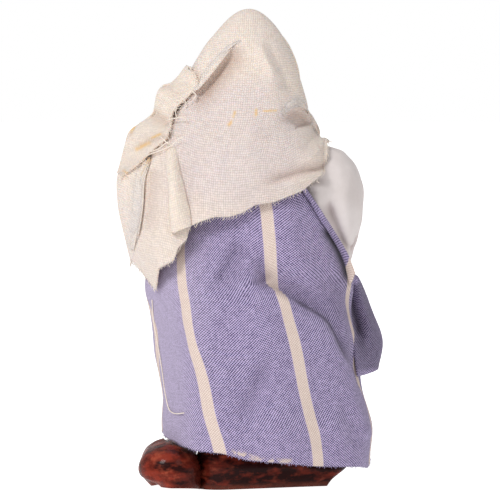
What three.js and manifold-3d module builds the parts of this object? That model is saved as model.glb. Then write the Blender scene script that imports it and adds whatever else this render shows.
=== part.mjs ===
// A dressed crib figure: a peasant woman wrapped in a calico veil and a striped skirt cloth.
//
// Lengths are millimetres and +Z is up. The pose and the drapery are shares of the figure's
// height, written in hundredths of it, while walls, air gaps, shoes and hands have sizes of
// their own. The figure is modelled as it stands before someone behind its right shoulder:
// +X to their right and +Y away from them. The finished group is then turned to face -Y.

import * as THREE from "three";
import { mergeVertices } from "three/addons/utils/BufferGeometryUtils.js";
import Module from "manifold-3d";

// Driving dimensions

const figureHeight = 100;
const facing = 25; // degrees from +Y towards +X that the woman looks
const air = 0.3; // left between pieces that touch

const skirtWall = 0.9;
const flapWall = 1.1;
const veilWall = 0.9;
const scarfWall = 1.3;

const headHeight = 18.6; // chin to crown
const neckRadius = 3.7;

const shoeLength = 32;
const shoeWidth = 10.6;
const shoeHeight = 8.6;
const toeLift = 0.7; // how far the toe end of a sole turns up
const toeOverhang = 1.8; // how far the toe reaches past the end of the sole
const ankleRadius = 3;
const kneeRadius = 4.3;
const heelGap = 0.4; // between the two heels

const palmLength = 5.2;
const palmWidth = 4.8;
const palmThickness = 2.3;
const fingerLength = 4.6;
const fingerRadius = 0.72;
const wristRadius = 1.9;

// How finely each form is faceted

const skirtFacets = [32, 9]; // round and up
const flapFacets = [14, 5];
const veilFacets = [32, 11];
const scarfFacets = [12, 6];
const faceHoleSides = 20;
const headFacets = [20, 16];
const torsoFacets = [14, 5];
const palmFacets = [8, 3];
const shoeEndFacets = 8; // round the heel, and as many round the toe
const limbSides = 10;
const fingerSides = 6;
const crowding = 0.45; // how strongly facets crowd towards the side that shows most

// Places in the pose, in hundredths of the height

const share = figureHeight / 100;
const headCentre = [0.4, 5.6, 87.2];
const betweenHeels = [-10.6, -5, 0];
const heelStagger = 1.6; // how much nearer the left heel stands than the middle of the two
const leftLeg = { ankle: [-14.4, -3, 9], knee: [-9.5, 1.5, 24], hip: [-7.5, 0, 42] };
const rightLeg = { ankle: [-2.4, -2.4, 9], knee: [2, 0.5, 24], hip: [2.5, 0, 42] };
const leftFootTurn = 7; // degrees anticlockwise from +Y
const rightFootTurn = -76;
const leftArm = [
  { place: [-6, 2, 67], radius: 4.6 },
  { place: [-14.5, 4.5, 64.6], radius: 6.6 },
  { place: [-18.4, 8, 56], radius: 6.4 },
  { place: [-14.5, 15, 51.5], radius: 4.6 },
  { place: [-9.2, 18.2, 50.8], radius: 2.9 },
];
const rightArm = [
  { place: [6, 2, 66.4], radius: 4.4 },
  { place: [15.3, 3.2, 64.1], radius: 7.8 },
  { place: [16.2, 4, 54.5], radius: 7.9 },
  { place: [16.6, 7.4, 47.6], radius: 5.2 },
  { place: [17.8, 11.6, 44.2], radius: 3 },
];
const leftWrist = [-9.6, 18, 50.8];
const rightWrist = [17.8, 11.4, 44.2];

// The torso under the blouse, from the hips up: centre, half width and half depth at a height.
const torso = [
  { z: 38, x: -1.4, y: 0, wide: 15.4, deep: 12.6 },
  { z: 45, x: -1.4, y: 0, wide: 17, deep: 12.8 },
  { z: 53, x: -1.3, y: 0, wide: 14, deep: 11 },
  { z: 60, x: -1.2, y: 0.4, wide: 11.2, deep: 9 },
  { z: 67, x: -1, y: 1, wide: 11.4, deep: 8.4 },
  { z: 72, x: -0.7, y: 2, wide: 10.2, deep: 7.8 },
  { z: 76, x: -0.4, y: 2.6, wide: 6.8, deep: 6.2 },
];

// The skirt's outer face from the hem up: its left, right, back and front edges at a height.
const skirtOutline = [
  { z: 3, left: -17.9, right: 25.2, back: -18.2, front: 19.5 },
  { z: 12, left: -18.3, right: 26, back: -18.6, front: 19.6 },
  { z: 20, left: -18.4, right: 23.8, back: -18.4, front: 19.2 },
  { z: 28, left: -19.4, right: 22.2, back: -17.9, front: 18.6 },
  { z: 36, left: -20.7, right: 20.4, back: -17, front: 17.8 },
  { z: 44, left: -21.6, right: 20, back: -15.8, front: 16.4 },
  { z: 53, left: -17.4, right: 17, back: -13.8, front: 13.6 },
  { z: 63, left: -12.6, right: 12.4, back: -11.4, front: 11 },
];

// Round the body, in degrees from the back towards the right: the skirt's hem and its top edge.
const skirtEdges = [
  { turn: -180, hem: 10.2, top: 50 },
  { turn: -130, hem: 11, top: 54 },
  { turn: -88, hem: 11.5, top: 57 },
  { turn: -45, hem: 9.6, top: 61 },
  { turn: -12, hem: 8.7, top: 62.5 },
  { turn: 12, hem: 7.4, top: 62.5 },
  { turn: 32, hem: 5.4, top: 62.5 },
  { turn: 52, hem: 4.6, top: 62.4 },
  { turn: 72, hem: 4.4, top: 54 },
  { turn: 88, hem: 4.6, top: 44.5 },
  { turn: 104, hem: 6.6, top: 41.5 },
  { turn: 140, hem: 9.4, top: 43 },
];

// The lifted free end of the skirt cloth, round the front from the right: how far it stands
// out from the skirt, and its lower edge.
const flapOutline = [
  { turn: 84, out: -0.8, hem: 25 },
  { turn: 92, out: 2.8, hem: 24.5 },
  { turn: 101, out: 7.4, hem: 24.2 },
  { turn: 114, out: 8.6, hem: 24.2 },
  { turn: 135, out: 6, hem: 25.4 },
  { turn: 160, out: 4, hem: 28 },
  { turn: 190, out: 2.8, hem: 32 },
  { turn: 212, out: 2, hem: 35.5 },
  { turn: 224, out: -0.4, hem: 38 },
];
const flapTop = 45.5;

// The veil's outer face. Each row is set by how far it lies below the crown.
const veilOutline = [
  { drop: 0, x: -0.2, y: 4, left: 0, right: 0, back: 0, front: 0 },
  { drop: 3.2, x: -0.3, y: 4.6, left: 5.4, right: 5.3, back: 5.7, front: 6.6 },
  { drop: 6.4, x: -0.5, y: 5, left: 7.9, right: 7.8, back: 8.6, front: 9.6 },
  { drop: 10.6, x: -0.8, y: 5.2, left: 10.2, right: 10.1, back: 10.8, front: 11.8 },
  { drop: 19, x: -1.5, y: 5, left: 13.6, right: 13.4, back: 13.2, front: 12.6 },
  { drop: 23.1, x: -2, y: 4.4, left: 16.6, right: 15, back: 14, front: 12.8 },
  { drop: 27.3, x: -3, y: 3.6, left: 20, right: 18.6, back: 14.8, front: 14.4 },
  { drop: 33, x: -4, y: 3, left: 22.8, right: 21.8, back: 15.6, front: 17.4 },
  { drop: 40, x: -4.6, y: 2.4, left: 22.6, right: 23, back: 16.6, front: 19.6 },
  { drop: 50, x: -4.4, y: 2, left: 20.9, right: 23, back: 18, front: 19 },
  { drop: 60, x: -4, y: 1.6, left: 18.2, right: 23, back: 19.2, front: 18 },
];

// The veil's hem, in degrees from the back towards the right.
const veilHem = [
  { turn: -180, z: 56 },
  { turn: -150, z: 51 },
  { turn: -120, z: 47 },
  { turn: -90, z: 46.6 },
  { turn: -66, z: 44.4 },
  { turn: -52, z: 41.6 },
  { turn: -45, z: 46.6 },
  { turn: -36, z: 51.4 },
  { turn: -31, z: 56 },
  { turn: -8, z: 57.4 },
  { turn: 16, z: 59.4 },
  { turn: 44, z: 62.6 },
  { turn: 66, z: 66.4 },
  { turn: 82, z: 71.4 },
  { turn: 96, z: 73.2 },
  { turn: 116, z: 71.6 },
  { turn: 150, z: 64 },
];
const faceOpening = { wide: 6.9, high: 8.8, drop: 13.4 };

// The end of the veil thrown over the left shoulder: where it leaves the chest, where it
// crests on the shoulder, and its cut edge down the back, each from its top fold down.
const scarfChest = [[4, 15.6, 78.6], [-2.5, 18.6, 70], [-11, 20.6, 60]];
const scarfCrest = [
  [-12.6, 4.5, 88.2], [-15.8, 3.4, 85.8], [-19.2, 3, 83], [-19.8, 2.6, 79.6],
  [-24, 2.6, 75.6], [-25.8, 2.8, 71.4], [-26.8, 3.4, 66.4],
];
const scarfEdge = [
  [-11.8, -4.4, 84.6], [-13.9, -6.6, 81.6], [-16.4, -8.4, 78], [-17.2, -9.8, 75],
  [-18.6, -10.4, 71.6], [-22.2, -8.4, 69.4], [-26.6, -4.4, 66],
];

const wasm = await Module();
wasm.setup();

// Helpers

const degrees = THREE.MathUtils.degToRad;
const step = THREE.MathUtils.smoothstep;
const lerp = THREE.MathUtils.lerp;
const spot = ([x, y, z]) => new THREE.Vector3(x, y, z).multiplyScalar(share);
const bell = (distance, width) => Math.exp(-((distance / width) ** 2));

// A smooth curve through the rows of a table, as a function of one of its columns.
function table(rows, by) {
  const columns = Object.keys(rows[0]).filter((name) => name !== by);
  const places = rows.map((row) => row[by]);
  const values = rows.flatMap((row) => columns.map((name) => row[name]));
  const curve = new THREE.CubicInterpolant(places, values, columns.length);
  return (place) => {
    const found = curve.evaluate(THREE.MathUtils.clamp(place, places[0], places.at(-1)));
    return Object.fromEntries(columns.map((name, i) => [name, found[i]]));
  };
}

// The same for a table that goes once round the figure, by its column turn.
function roundTable(rows) {
  const shifted = (by) => rows.map((row) => ({ ...row, turn: row.turn + by }));
  const found = table([...shifted(-360), ...rows, ...shifted(360)], "turn");
  return (turn) => found(THREE.MathUtils.euclideanModulo(turn + 180, 360) - 180);
}

function solid(vertices, triangles) {
  const geometry = new THREE.BufferGeometry();
  const places = vertices.flatMap((vertex) => vertex.toArray());
  geometry.setAttribute("position", new THREE.Float32BufferAttribute(places, 3));
  geometry.setIndex(triangles);
  const merged = mergeVertices(geometry, 1e-4);
  const mesh = new wasm.Mesh({
    numProp: 3,
    vertProperties: merged.attributes.position.array,
    triVerts: new Uint32Array(merged.index.array),
  });
  return new wasm.Manifold(mesh);
}

const join = (...solids) => solids.reduce((whole, each) => whole.add(each));
const cut = (whole, ...tools) => tools.reduce((left, tool) => left.subtract(tool), whole);

// The largest body of a cut solid: offcuts that hang on nothing are dropped.
function mainBody(whole) {
  const bodies = whole.decompose();
  return bodies.reduce((best, each) => (each.volume() > best.volume() ? each : best));
}

// A closed solid from rings of points that run anticlockwise seen from the first end's side.
function ringSolid(rings) {
  const sides = rings[0].length;
  const vertices = rings.flat();
  const triangles = [];
  for (let ring = 0; ring < rings.length - 1; ring++) {
    for (let side = 0; side < sides; side++) {
      const next = (side + 1) % sides;
      const [a, b] = [ring * sides + side, ring * sides + next];
      const [c, d] = [a + sides, b + sides];
      triangles.push(a, c, b, b, c, d);
    }
  }
  for (const [ring, flip] of [[0, false], [rings.length - 1, true]]) {
    const middle = new THREE.Vector3();
    rings[ring].forEach((point) => middle.add(point));
    const centre = vertices.push(middle.divideScalar(sides)) - 1;
    for (let side = 0; side < sides; side++) {
      const pair = [ring * sides + side, ring * sides + ((side + 1) % sides)];
      triangles.push(centre, ...(flip ? pair.reverse() : pair));
    }
  }
  const made = solid(vertices, triangles);
  return made.volume() > 0 ? made : solid(vertices, triangles.reverse());
}

// The unit normal of a surface given by a function of two shares, u along and v across.
function normalOf(surface, u, v) {
  const tiny = 1e-3;
  const alongU = surface(u + tiny, v).sub(surface(u - tiny, v));
  const alongV = surface(u, v + tiny).sub(surface(u, v - tiny));
  return alongU.cross(alongV).normalize();
}

// A solid whose side is a surface that closes on itself in u, moved outwards by an offset.
function loft(surface, [sides, rings], { offset = 0, from = 0, to = 1 } = {}) {
  const acrossMiddle = surface(0, 0.5).sub(surface(0.5, 0.5));
  const outwards = Math.sign(normalOf(surface, 0, 0.5).dot(acrossMiddle));
  const rows = [];
  for (let ring = 0; ring <= rings; ring++) {
    const v = lerp(from, to, ring / rings);
    const row = [];
    for (let side = 0; side < sides; side++) {
      const u = side / sides;
      row.push(surface(u, v).addScaledVector(normalOf(surface, u, v), outwards * offset));
    }
    rows.push(row);
  }
  return ringSolid(rows);
}

// A sheet of cloth with a wall behind its outer face, and with more air round it on request.
function sheet(surface, [across, along], wall, gap = 0) {
  const edge = (share01, count) => (share01 === 0 ? -gap / count : share01 === 1 ? gap / count : 0);
  const rows = [];
  for (let j = 0; j <= along; j++) {
    const front = [];
    const behind = [];
    for (let i = 0; i <= across; i++) {
      const [u, v] = [i / across, j / along];
      const normal = normalOf(surface, u, v);
      const place = surface(u + edge(u, across), v + edge(v, along));
      front.push(place.clone().addScaledVector(normal, gap));
      behind.push(place.clone().addScaledVector(normal, -wall - gap));
    }
    rows.push([...front, ...behind.reverse()]);
  }
  return ringSolid(rows);
}

// A limb along a smooth curve through its stations, its radius growing by a gap on request.
function limb(stations, gap = 0, sides = limbSides, rings = 2 * stations.length + 2) {
  const curve = new THREE.CatmullRomCurve3(stations.map((station) => station.place));
  const frames = curve.computeFrenetFrames(rings);
  const radii = table(stations.map(({ radius }, index) => ({ index, radius })), "index");
  const rows = [];
  for (let ring = 0; ring <= rings; ring++) {
    const centre = curve.getPoint(ring / rings);
    if (ring === 0) centre.addScaledVector(frames.tangents[0], -gap);
    if (ring === rings) centre.addScaledVector(frames.tangents[rings], gap);
    const radius = radii((ring / rings) * (stations.length - 1)).radius + gap;
    const row = [];
    for (let side = 0; side < sides; side++) {
      const angle = (2 * Math.PI * side) / sides;
      const point = centre.clone();
      point.addScaledVector(frames.normals[ring], radius * Math.cos(angle));
      point.addScaledVector(frames.binormals[ring], radius * Math.sin(angle));
      row.push(point);
    }
    rows.push(row);
  }
  return ringSolid(rows);
}

const bodyLimb = (stations, gap) =>
  limb(stations.map(({ place, radius }) => ({ place: spot(place), radius: radius * share })), gap);

function piece(name, whole, look) {
  const { vertProperties, numProp, triVerts } = mainBody(whole).getMesh();
  const geometry = new THREE.BufferGeometry();
  const places = [];
  for (let i = 0; i < vertProperties.length; i += numProp) {
    places.push(vertProperties[i], vertProperties[i + 1], vertProperties[i + 2]);
  }
  geometry.setAttribute("position", new THREE.Float32BufferAttribute(places, 3));
  geometry.setIndex(Array.from(triVerts));
  geometry.computeVertexNormals();
  const mesh = new THREE.Mesh(geometry, new THREE.MeshStandardMaterial(look));
  mesh.name = name;
  return mesh;
}

// Head, as shares of its height above the chin

const headOutline = table([
  { up: 0, wide: 0.12, front: 0.27, back: 0.02 },
  { up: 0.06, wide: 0.2, front: 0.36, back: 0.1 },
  { up: 0.16, wide: 0.28, front: 0.385, back: 0.2 },
  { up: 0.3, wide: 0.345, front: 0.395, back: 0.32 },
  { up: 0.48, wide: 0.375, front: 0.4, back: 0.42 },
  { up: 0.66, wide: 0.38, front: 0.42, back: 0.46 },
  { up: 0.8, wide: 0.35, front: 0.38, back: 0.44 },
  { up: 0.9, wide: 0.27, front: 0.28, back: 0.34 },
  { up: 0.97, wide: 0.15, front: 0.14, back: 0.19 },
  { up: 1, wide: 0.03, front: 0.02, back: 0.03 },
], "up");

// How far the face stands out from that outline: nose, sockets, cheeks, lips and chin.
function faceRelief(side, up) {
  const noseRun = step(up, 0.33, 0.38) * (1 - step(up, 0.4, 0.64));
  const nose = 0.105 * noseRun * bell(side, 0.05);
  const nostrils = 0.03 * bell(Math.abs(side) - 0.045, 0.03) * bell(up - 0.36, 0.035);
  const sockets = -0.04 * bell(Math.abs(side) - 0.16, 0.085) * bell(up - 0.515, 0.055);
  const brows = 0.018 * bell(Math.abs(side) - 0.15, 0.12) * bell(up - 0.61, 0.035);
  const cheeks = 0.022 * bell(Math.abs(side) - 0.2, 0.09) * bell(up - 0.36, 0.09);
  const lips = 0.026 * bell(side, 0.1) * (bell(up - 0.245, 0.018) + bell(up - 0.195, 0.02));
  const chin = 0.022 * bell(side, 0.1) * bell(up - 0.075, 0.05);
  return nose + nostrils + sockets + brows + cheeks + lips + chin;
}

function headBody(gap) {
  const centre = spot(headCentre);
  const chinHeight = centre.z - headHeight / 2;
  const forward = new THREE.Vector3(Math.sin(degrees(facing)), Math.cos(degrees(facing)), 0);
  const aside = new THREE.Vector3(forward.y, -forward.x, 0);
  const skin = (u, v) => {
    const up = THREE.MathUtils.clamp(v, 0, 1);
    const turn = 2 * Math.PI * u;
    const angle = turn - crowding * Math.sin(turn);
    const { wide, front, back } = headOutline(up);
    const side = wide * Math.sin(angle);
    const ahead = Math.cos(angle) * (Math.cos(angle) > 0 ? front : back);
    const relief = Math.cos(angle) > 0 ? faceRelief(side, up) * step(Math.cos(angle), 0, 0.3) : 0;
    return new THREE.Vector3(centre.x, centre.y, chinHeight + v * headHeight)
      .addScaledVector(aside, side * headHeight)
      .addScaledVector(forward, (ahead + relief) * headHeight);
  };
  const skull = loft(skin, headFacets, { offset: gap });
  const neckFoot = spot([-0.2, 3, 66]);
  const nape = new THREE.Vector3(centre.x, centre.y - 0.5, chinHeight + 0.3 * headHeight);
  const neck = limb([
    { place: neckFoot, radius: neckRadius * 1.25 },
    { place: neckFoot.clone().lerp(nape, 0.45), radius: neckRadius * 1.08 },
    { place: neckFoot.clone().lerp(nape, 0.75), radius: neckRadius },
    { place: nape, radius: neckRadius },
  ], gap, limbSides, 4);
  return join(skull, neck);
}

// Hands, modelled palm down with the fingers along +Y, then put on the wrist

function handBody(wrist, turn, thumbSide, curl, gap) {
  const knuckles = palmWidth / 2 - fingerRadius;
  const palm = (u, v) => {
    const angle = 2 * Math.PI * u;
    const spread = step(v, 0, 0.6);
    const wide = lerp(wristRadius, palmWidth / 2, spread);
    const thick = lerp(wristRadius, palmThickness / 2, spread);
    return new THREE.Vector3(wide * Math.cos(angle), v * palmLength, thick * Math.sin(angle));
  };
  const parts = [loft(palm, palmFacets, { offset: gap, from: -0.9, to: 1 })];
  const digit = (x, y, slant, length) => {
    const station = (part, radius) => {
      const bend = curl * part;
      const run = length * (bend > 0 ? Math.sin(bend) / curl : part);
      const fall = length * (bend > 0 ? (1 - Math.cos(bend)) / curl : 0);
      return { place: new THREE.Vector3(x + slant * run, y + run, -fall), radius };
    };
    const middles = [0.3, 0.65].map((part) => station(part, fingerRadius));
    return limb([
      station(-0.25, fingerRadius), ...middles, station(1, fingerRadius * 0.7),
    ], gap, fingerSides, 2);
  };
  for (const k of [-1, -1 / 3, 1 / 3, 1]) {
    const length = fingerLength * (1 - 0.16 * Math.abs(k + thumbSide / 5));
    parts.push(digit(k * knuckles, palmLength * 0.94, 0.06 * k, length));
  }
  parts.push(digit(thumbSide * knuckles, palmLength * 0.3, thumbSide * 0.75, fingerLength * 0.8));
  const [x, y, z] = spot(wrist).toArray();
  return join(...parts).rotate(turn).translate([x, y, z]);
}

const leftHandBody = (gap) => handBody(leftWrist, [8, -12, -78], 1, 0.5, gap);
const rightHandBody = (gap) => handBody(rightWrist, [4, 62, 12], -1, 1.2, gap);

// Feet: a rounded shoe with its stockinged leg standing in it

// How far a shoe's outline draws in at a height, as shares of the half width and of the shoe's
// height: on the outer side and the toe, and on the inner side and the heel.
const shoeRows = [
  { up: 0, outer: 0.36, inner: 0.1 },
  { up: 0.1, outer: 0.22, inner: 0.05 },
  { up: 0.24, outer: 0.09, inner: 0.02 },
  { up: 0.46, outer: 0, inner: 0 },
  { up: 0.68, outer: 0.1, inner: 0.08 },
  { up: 0.85, outer: 0.32, inner: 0.3 },
  { up: 0.95, outer: 0.6, inner: 0.58 },
  { up: 1, outer: 0.88, inner: 0.86 },
];

function footBody({ ankle, knee, hip }, side, turn, gap) {
  const half = shoeWidth / 2;
  const run = shoeLength - shoeWidth;
  const arc = shoeEndFacets;
  const rings = shoeRows.map(({ up, outer, inner }) => {
    const row = [];
    for (let k = 0; k <= 2 * arc + 1; k++) {
      const toe = k > arc;
      const angle = Math.PI * ((toe ? k - 1 : k) / arc + 1);
      const outside = Math.max(side * Math.cos(angle), Math.sin(angle), 0);
      const radius = half * (1 - lerp(inner, outer, outside)) + gap;
      const tip = step(Math.sin(angle), 0, 1);
      const under = toe ? tip * toeOverhang * (1 - step(up, 0, 0.46)) : 0;
      const along = (toe ? run - under : 0) + radius * Math.sin(angle);
      const forward = step(along, 0.45 * run, run + half);
      const rise = toe ? 4 * toeLift * tip * up * (1 - up) : 0;
      const height = up * shoeHeight * (1 - 0.22 * forward) + rise;
      const lift = up === 0 ? -gap : up === 1 ? gap : 0;
      row.push(new THREE.Vector3(radius * Math.cos(angle), along, height + lift));
    }
    return row;
  });
  const heel = spot(betweenHeels);
  const nearer = side * heelStagger * share;
  const leftAxis = degrees(leftFootTurn);
  const stagger = 2 * heelStagger * share * Math.sin(leftAxis);
  const x = heel.x + (side * (shoeWidth + heelGap - stagger)) / (2 * Math.cos(leftAxis));
  const shoe = ringSolid(rings).rotate([0, 0, turn]).translate([x, heel.y + nearer, 0]);
  const raised = spot(ankle).setZ(shoeHeight);
  const inShoe = raised.clone().setZ(shoeHeight / 2);
  const leg = limb([
    { place: inShoe, radius: ankleRadius },
    { place: raised, radius: ankleRadius },
    { place: spot(knee), radius: kneeRadius },
    { place: spot(hip), radius: kneeRadius },
  ], gap, limbSides, 6);
  return join(shoe, leg);
}

const leftFootBody = (gap) => footBody(leftLeg, -1, leftFootTurn, gap);
const rightFootBody = (gap) => footBody(rightLeg, 1, rightFootTurn, gap);

// Blouse: the filled-out torso and the two puffed sleeves

function blouseBody(gap) {
  const outline = table(torso, "z");
  const [low, high] = [torso[0].z, torso.at(-1).z];
  const trunk = (u, v) => {
    const height = lerp(low, high, v);
    const { x, y, wide, deep } = outline(height);
    const angle = 2 * Math.PI * u;
    return spot([x + wide * Math.sin(angle), y - deep * Math.cos(angle), height]);
  };
  const filled = loft(trunk, torsoFacets, { offset: gap });
  return join(filled, bodyLimb(leftArm, gap), bodyLimb(rightArm, gap));
}

// A point on an oval that bulges differently to its four sides, by the turn from the back.
function ovalReach(turn, { left, right, back, front }) {
  const [s, c] = [Math.sin(degrees(turn)), Math.cos(degrees(turn))];
  const [wide, deep] = [s > 0 ? right : left, c > 0 ? back : front];
  return 1 / Math.hypot(s / wide, c / deep);
}

// The turn round the body at a share of the way round: the back has more of the facets.
function turnAt(u) {
  const round = 2 * Math.PI * (u - 0.5);
  return THREE.MathUtils.radToDeg(round - crowding * Math.sin(round));
}

// Skirt

const skirtAt = table(skirtOutline, "z");
const skirtEdge = roundTable(skirtEdges);
const dartTop = { turn: 14, z: 42 };
const dartFoot = { turn: 74, z: 22 };

// The folds of the skirt cloth: long soft flutes, and the dart that runs down to the right.
function skirtFold(turn, z) {
  const flutes = 0.45 * Math.sin(degrees(7 * turn + 40)) * (1 - step(z, 26, 58));
  const run = (turn - dartTop.turn) / (dartFoot.turn - dartTop.turn);
  const line = lerp(dartTop.z, dartFoot.z, run);
  const above = z - line;
  const fades = step(run, 0, 0.6) * (1 - step(run, 1.05, 1.3));
  const dart = fades * (0.3 * bell(above, 4) - 1.3 * step(above, -1, 2.4) * (1 - step(above, 3, 14)));
  return flutes + dart;
}

function skirtPoint(turn, z, out = 0) {
  const { left, right, back, front } = skirtAt(z);
  const [x, y] = [(left + right) / 2, 0];
  const half = (right - left) / 2;
  const reach = ovalReach(turn, { left: half, right: half, back: -back, front });
  const radius = reach + skirtFold(turn, z) + out;
  const [s, c] = [Math.sin(degrees(turn)), Math.cos(degrees(turn))];
  return spot([x + radius * s, y - radius * c, z]);
}

function skirtWrap(u, v) {
  const turn = turnAt(u);
  const { hem, top } = skirtEdge(turn);
  return skirtPoint(turn, lerp(hem, top, v));
}

const flapAt = table(flapOutline, "turn");

// The lifted end bags out most at the middle of its height and gathers at the hand.
function flapPoint(u, v) {
  const turn = lerp(flapOutline[0].turn, flapOutline.at(-1).turn, u);
  const { out, hem } = flapAt(turn);
  const z = lerp(hem, flapTop, v);
  const fall = Math.max(1 - v, 0);
  const bag = lerp(0.36, 0.62, fall) + 0.4 * Math.sin(Math.PI * fall ** 1.3);
  const swags = 0.6 * Math.sin(3 * Math.PI * v - degrees(2.2 * turn)) * step(turn, 110, 140);
  return skirtPoint(turn, z, out * bag + (1 - step(turn, 195, 212)) * swags);
}

function skirtBody(gap) {
  const [sides, rings] = skirtFacets;
  const spare = 1 / rings;
  const outside = loft(skirtWrap, skirtFacets, { offset: gap });
  const inside = loft(skirtWrap, [sides, rings + 2], {
    offset: -skirtWall - gap, from: -spare, to: 1 + spare,
  });
  return join(cut(outside, inside), sheet(flapPoint, flapFacets, flapWall, gap));
}

// Veil

const crown = figureHeight / share;
const veilAt = table(veilOutline.map(({ drop, ...row }) => ({ root: Math.sqrt(drop), ...row })), "root");
const veilHemAt = roundTable(veilHem);
const shoulderDrop = 20; // below the crown, where the hem starts to shape the rows

// Broad folds: the lap beside the face, the hanging roll and the raised strip at the left, and
// the soft ridges that run from the crown over the right shoulder.
function veilFold(turn, drop) {
  const low = step(drop, 14, 30);
  const strip = 0.5 * low * bell(turn + 92, 14);
  const panel = -0.9 * low * bell(turn + 66, 9);
  const roll = 1.3 * low * bell(turn + 42, 9);
  const groove = -0.8 * low * bell(turn + 28, 8);
  const lap = 0.9 * step(drop, 3, 10) * (1 - step(drop, 17, 24)) * bell(turn + 62, 22);
  const ridge = 0.7 * step(drop, 5, 12) * (1 - step(drop, 20, 26)) * bell(turn - 30, 12);
  const crease = -1 * bell(drop - 24.5, 2.5) * bell(turn - 58, 20);
  const band = 0.5 * bell(drop - 34, 5) * bell(turn - 40, 30);
  return strip + panel + roll + groove + lap + ridge + crease + band;
}

function veilPoint(turn, drop, out = 0) {
  const { x, y, left, right, back, front } = veilAt(Math.sqrt(Math.max(drop, 0)));
  const radius = ovalReach(turn, { left, right, back, front }) + veilFold(turn, drop) + out;
  const [s, c] = [Math.sin(degrees(turn)), Math.cos(degrees(turn))];
  return spot([x + radius * s, y - radius * c, crown - drop]);
}

function veilWrap(u, v) {
  const turn = turnAt(u);
  const crownShare = 0.46;
  const hemDrop = crown - veilHemAt(turn).z;
  const drop = v < crownShare
    ? shoulderDrop * (v / crownShare) ** 2
    : lerp(shoulderDrop, hemDrop, (v - crownShare) / (1 - crownShare));
  return veilPoint(turn, drop);
}

// A point on a curve, which runs straight on past its two ends.
function pointOn(curve, place) {
  const inside = THREE.MathUtils.clamp(place, 0, 1);
  const reach = curve.points[0].distanceTo(curve.points.at(-1));
  return curve.getPoint(inside).addScaledVector(curve.getTangent(inside), (place - inside) * reach);
}

const chestCurve = new THREE.CatmullRomCurve3(scarfChest.map(spot));
const crestCurve = new THREE.CatmullRomCurve3(scarfCrest.map(spot));
const edgeCurve = new THREE.CatmullRomCurve3(scarfEdge.map(spot));

function scarfPoint(u, v) {
  const [chest, crest, edge] = [chestCurve, crestCurve, edgeCurve].map((curve) => pointOn(curve, u));
  const flank = chest.clone().lerp(crest, 0.55);
  flank.x -= 3 * share * (1 - u);
  flank.y += 4 * share;
  return pointOn(new THREE.CatmullRomCurve3([chest, flank, crest, edge]), v);
}

// The oval that the face looks out of, run out along the way the woman faces.
function faceHole() {
  const forward = new THREE.Vector3(Math.sin(degrees(facing)), Math.cos(degrees(facing)), 0);
  const aside = new THREE.Vector3(forward.y, -forward.x, 0);
  const centre = spot([headCentre[0], headCentre[1], crown - faceOpening.drop]);
  const hole = (u, v) => {
    const angle = 2 * Math.PI * u;
    return centre.clone()
      .addScaledVector(forward, v * 25 * share)
      .addScaledVector(aside, faceOpening.wide * share * Math.sin(angle))
      .add(new THREE.Vector3(0, 0, faceOpening.high * share * Math.cos(angle)));
  };
  return loft(hole, [faceHoleSides, 1]);
}

function veilBody() {
  const [sides, rings] = veilFacets;
  const from = 0.02; // the first ring lies just off the point of the crown
  const spare = (1 - from) / rings;
  const outside = loft(veilWrap, veilFacets, { from });
  const inside = loft(veilWrap, [sides, rings + 1], { offset: -veilWall, from, to: 1 + spare });
  const scarf = sheet(scarfPoint, scarfFacets, scarfWall);
  return join(cut(outside, inside, faceHole()), scarf);
}

// Assembly: each soft piece is cut back from what it is worn over

const terracotta = { color: 0xc98f6c, roughness: 0.6, metalness: 0 };
const shoeLeather = { color: 0x4a1c14, roughness: 0.25, metalness: 0 };
const whiteCotton = { color: 0xe4dedb, roughness: 0.9, metalness: 0 };
const purpleCotton = { color: 0x8478b4, roughness: 0.85, metalness: 0 };
const calico = { color: 0xe8d9c6, roughness: 0.9, metalness: 0 };

const inBlouse = [headBody, leftHandBody, rightHandBody, leftFootBody, rightFootBody];
const inSkirt = [...inBlouse, blouseBody];
const inVeil = [...inSkirt, skirtBody];
const grown = (bodies) => bodies.map((body) => body(air));

const figure = new THREE.Group();
figure.add(
  piece("head", headBody(0), terracotta),
  piece("left_hand", leftHandBody(0), terracotta),
  piece("right_hand", rightHandBody(0), terracotta),
  piece("left_foot", leftFootBody(0), shoeLeather),
  piece("right_foot", rightFootBody(0), shoeLeather),
  piece("blouse", cut(blouseBody(0), ...grown(inBlouse)), whiteCotton),
  piece("skirt", cut(skirtBody(0), ...grown(inSkirt)), purpleCotton),
  piece("veil", cut(veilBody(), ...grown(inVeil)), calico),
);
figure.rotation.z = degrees(180 + facing);

// The origin is under the middle of the whole figure, on the floor.
const part = new THREE.Group();
part.add(figure);
const bounds = new THREE.Box3().setFromObject(part, true);
const middle = bounds.getCenter(new THREE.Vector3());
figure.position.set(-middle.x, -middle.y, -bounds.min.z);

export default part;
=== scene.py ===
# A dressed crib figure: a peasant woman with a painted terracotta head, hands and shoes, a white
# cotton blouse, a striped skirt cloth and a calico veil.
#
# Her own frame is in millimetres, as she stands before someone behind her right shoulder: +X to
# their right, +Y away from them and +Z up. stand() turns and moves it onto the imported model.
# A fold that shows from behind follows a line of photograph pixels, in a frame of 500 by 500.
# Unless a comment says otherwise, the sizes are millimetres and the turns are degrees.

import math

import bmesh
import bpy
import numpy as np
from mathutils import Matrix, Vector
from mathutils.kdtree import KDTree


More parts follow.
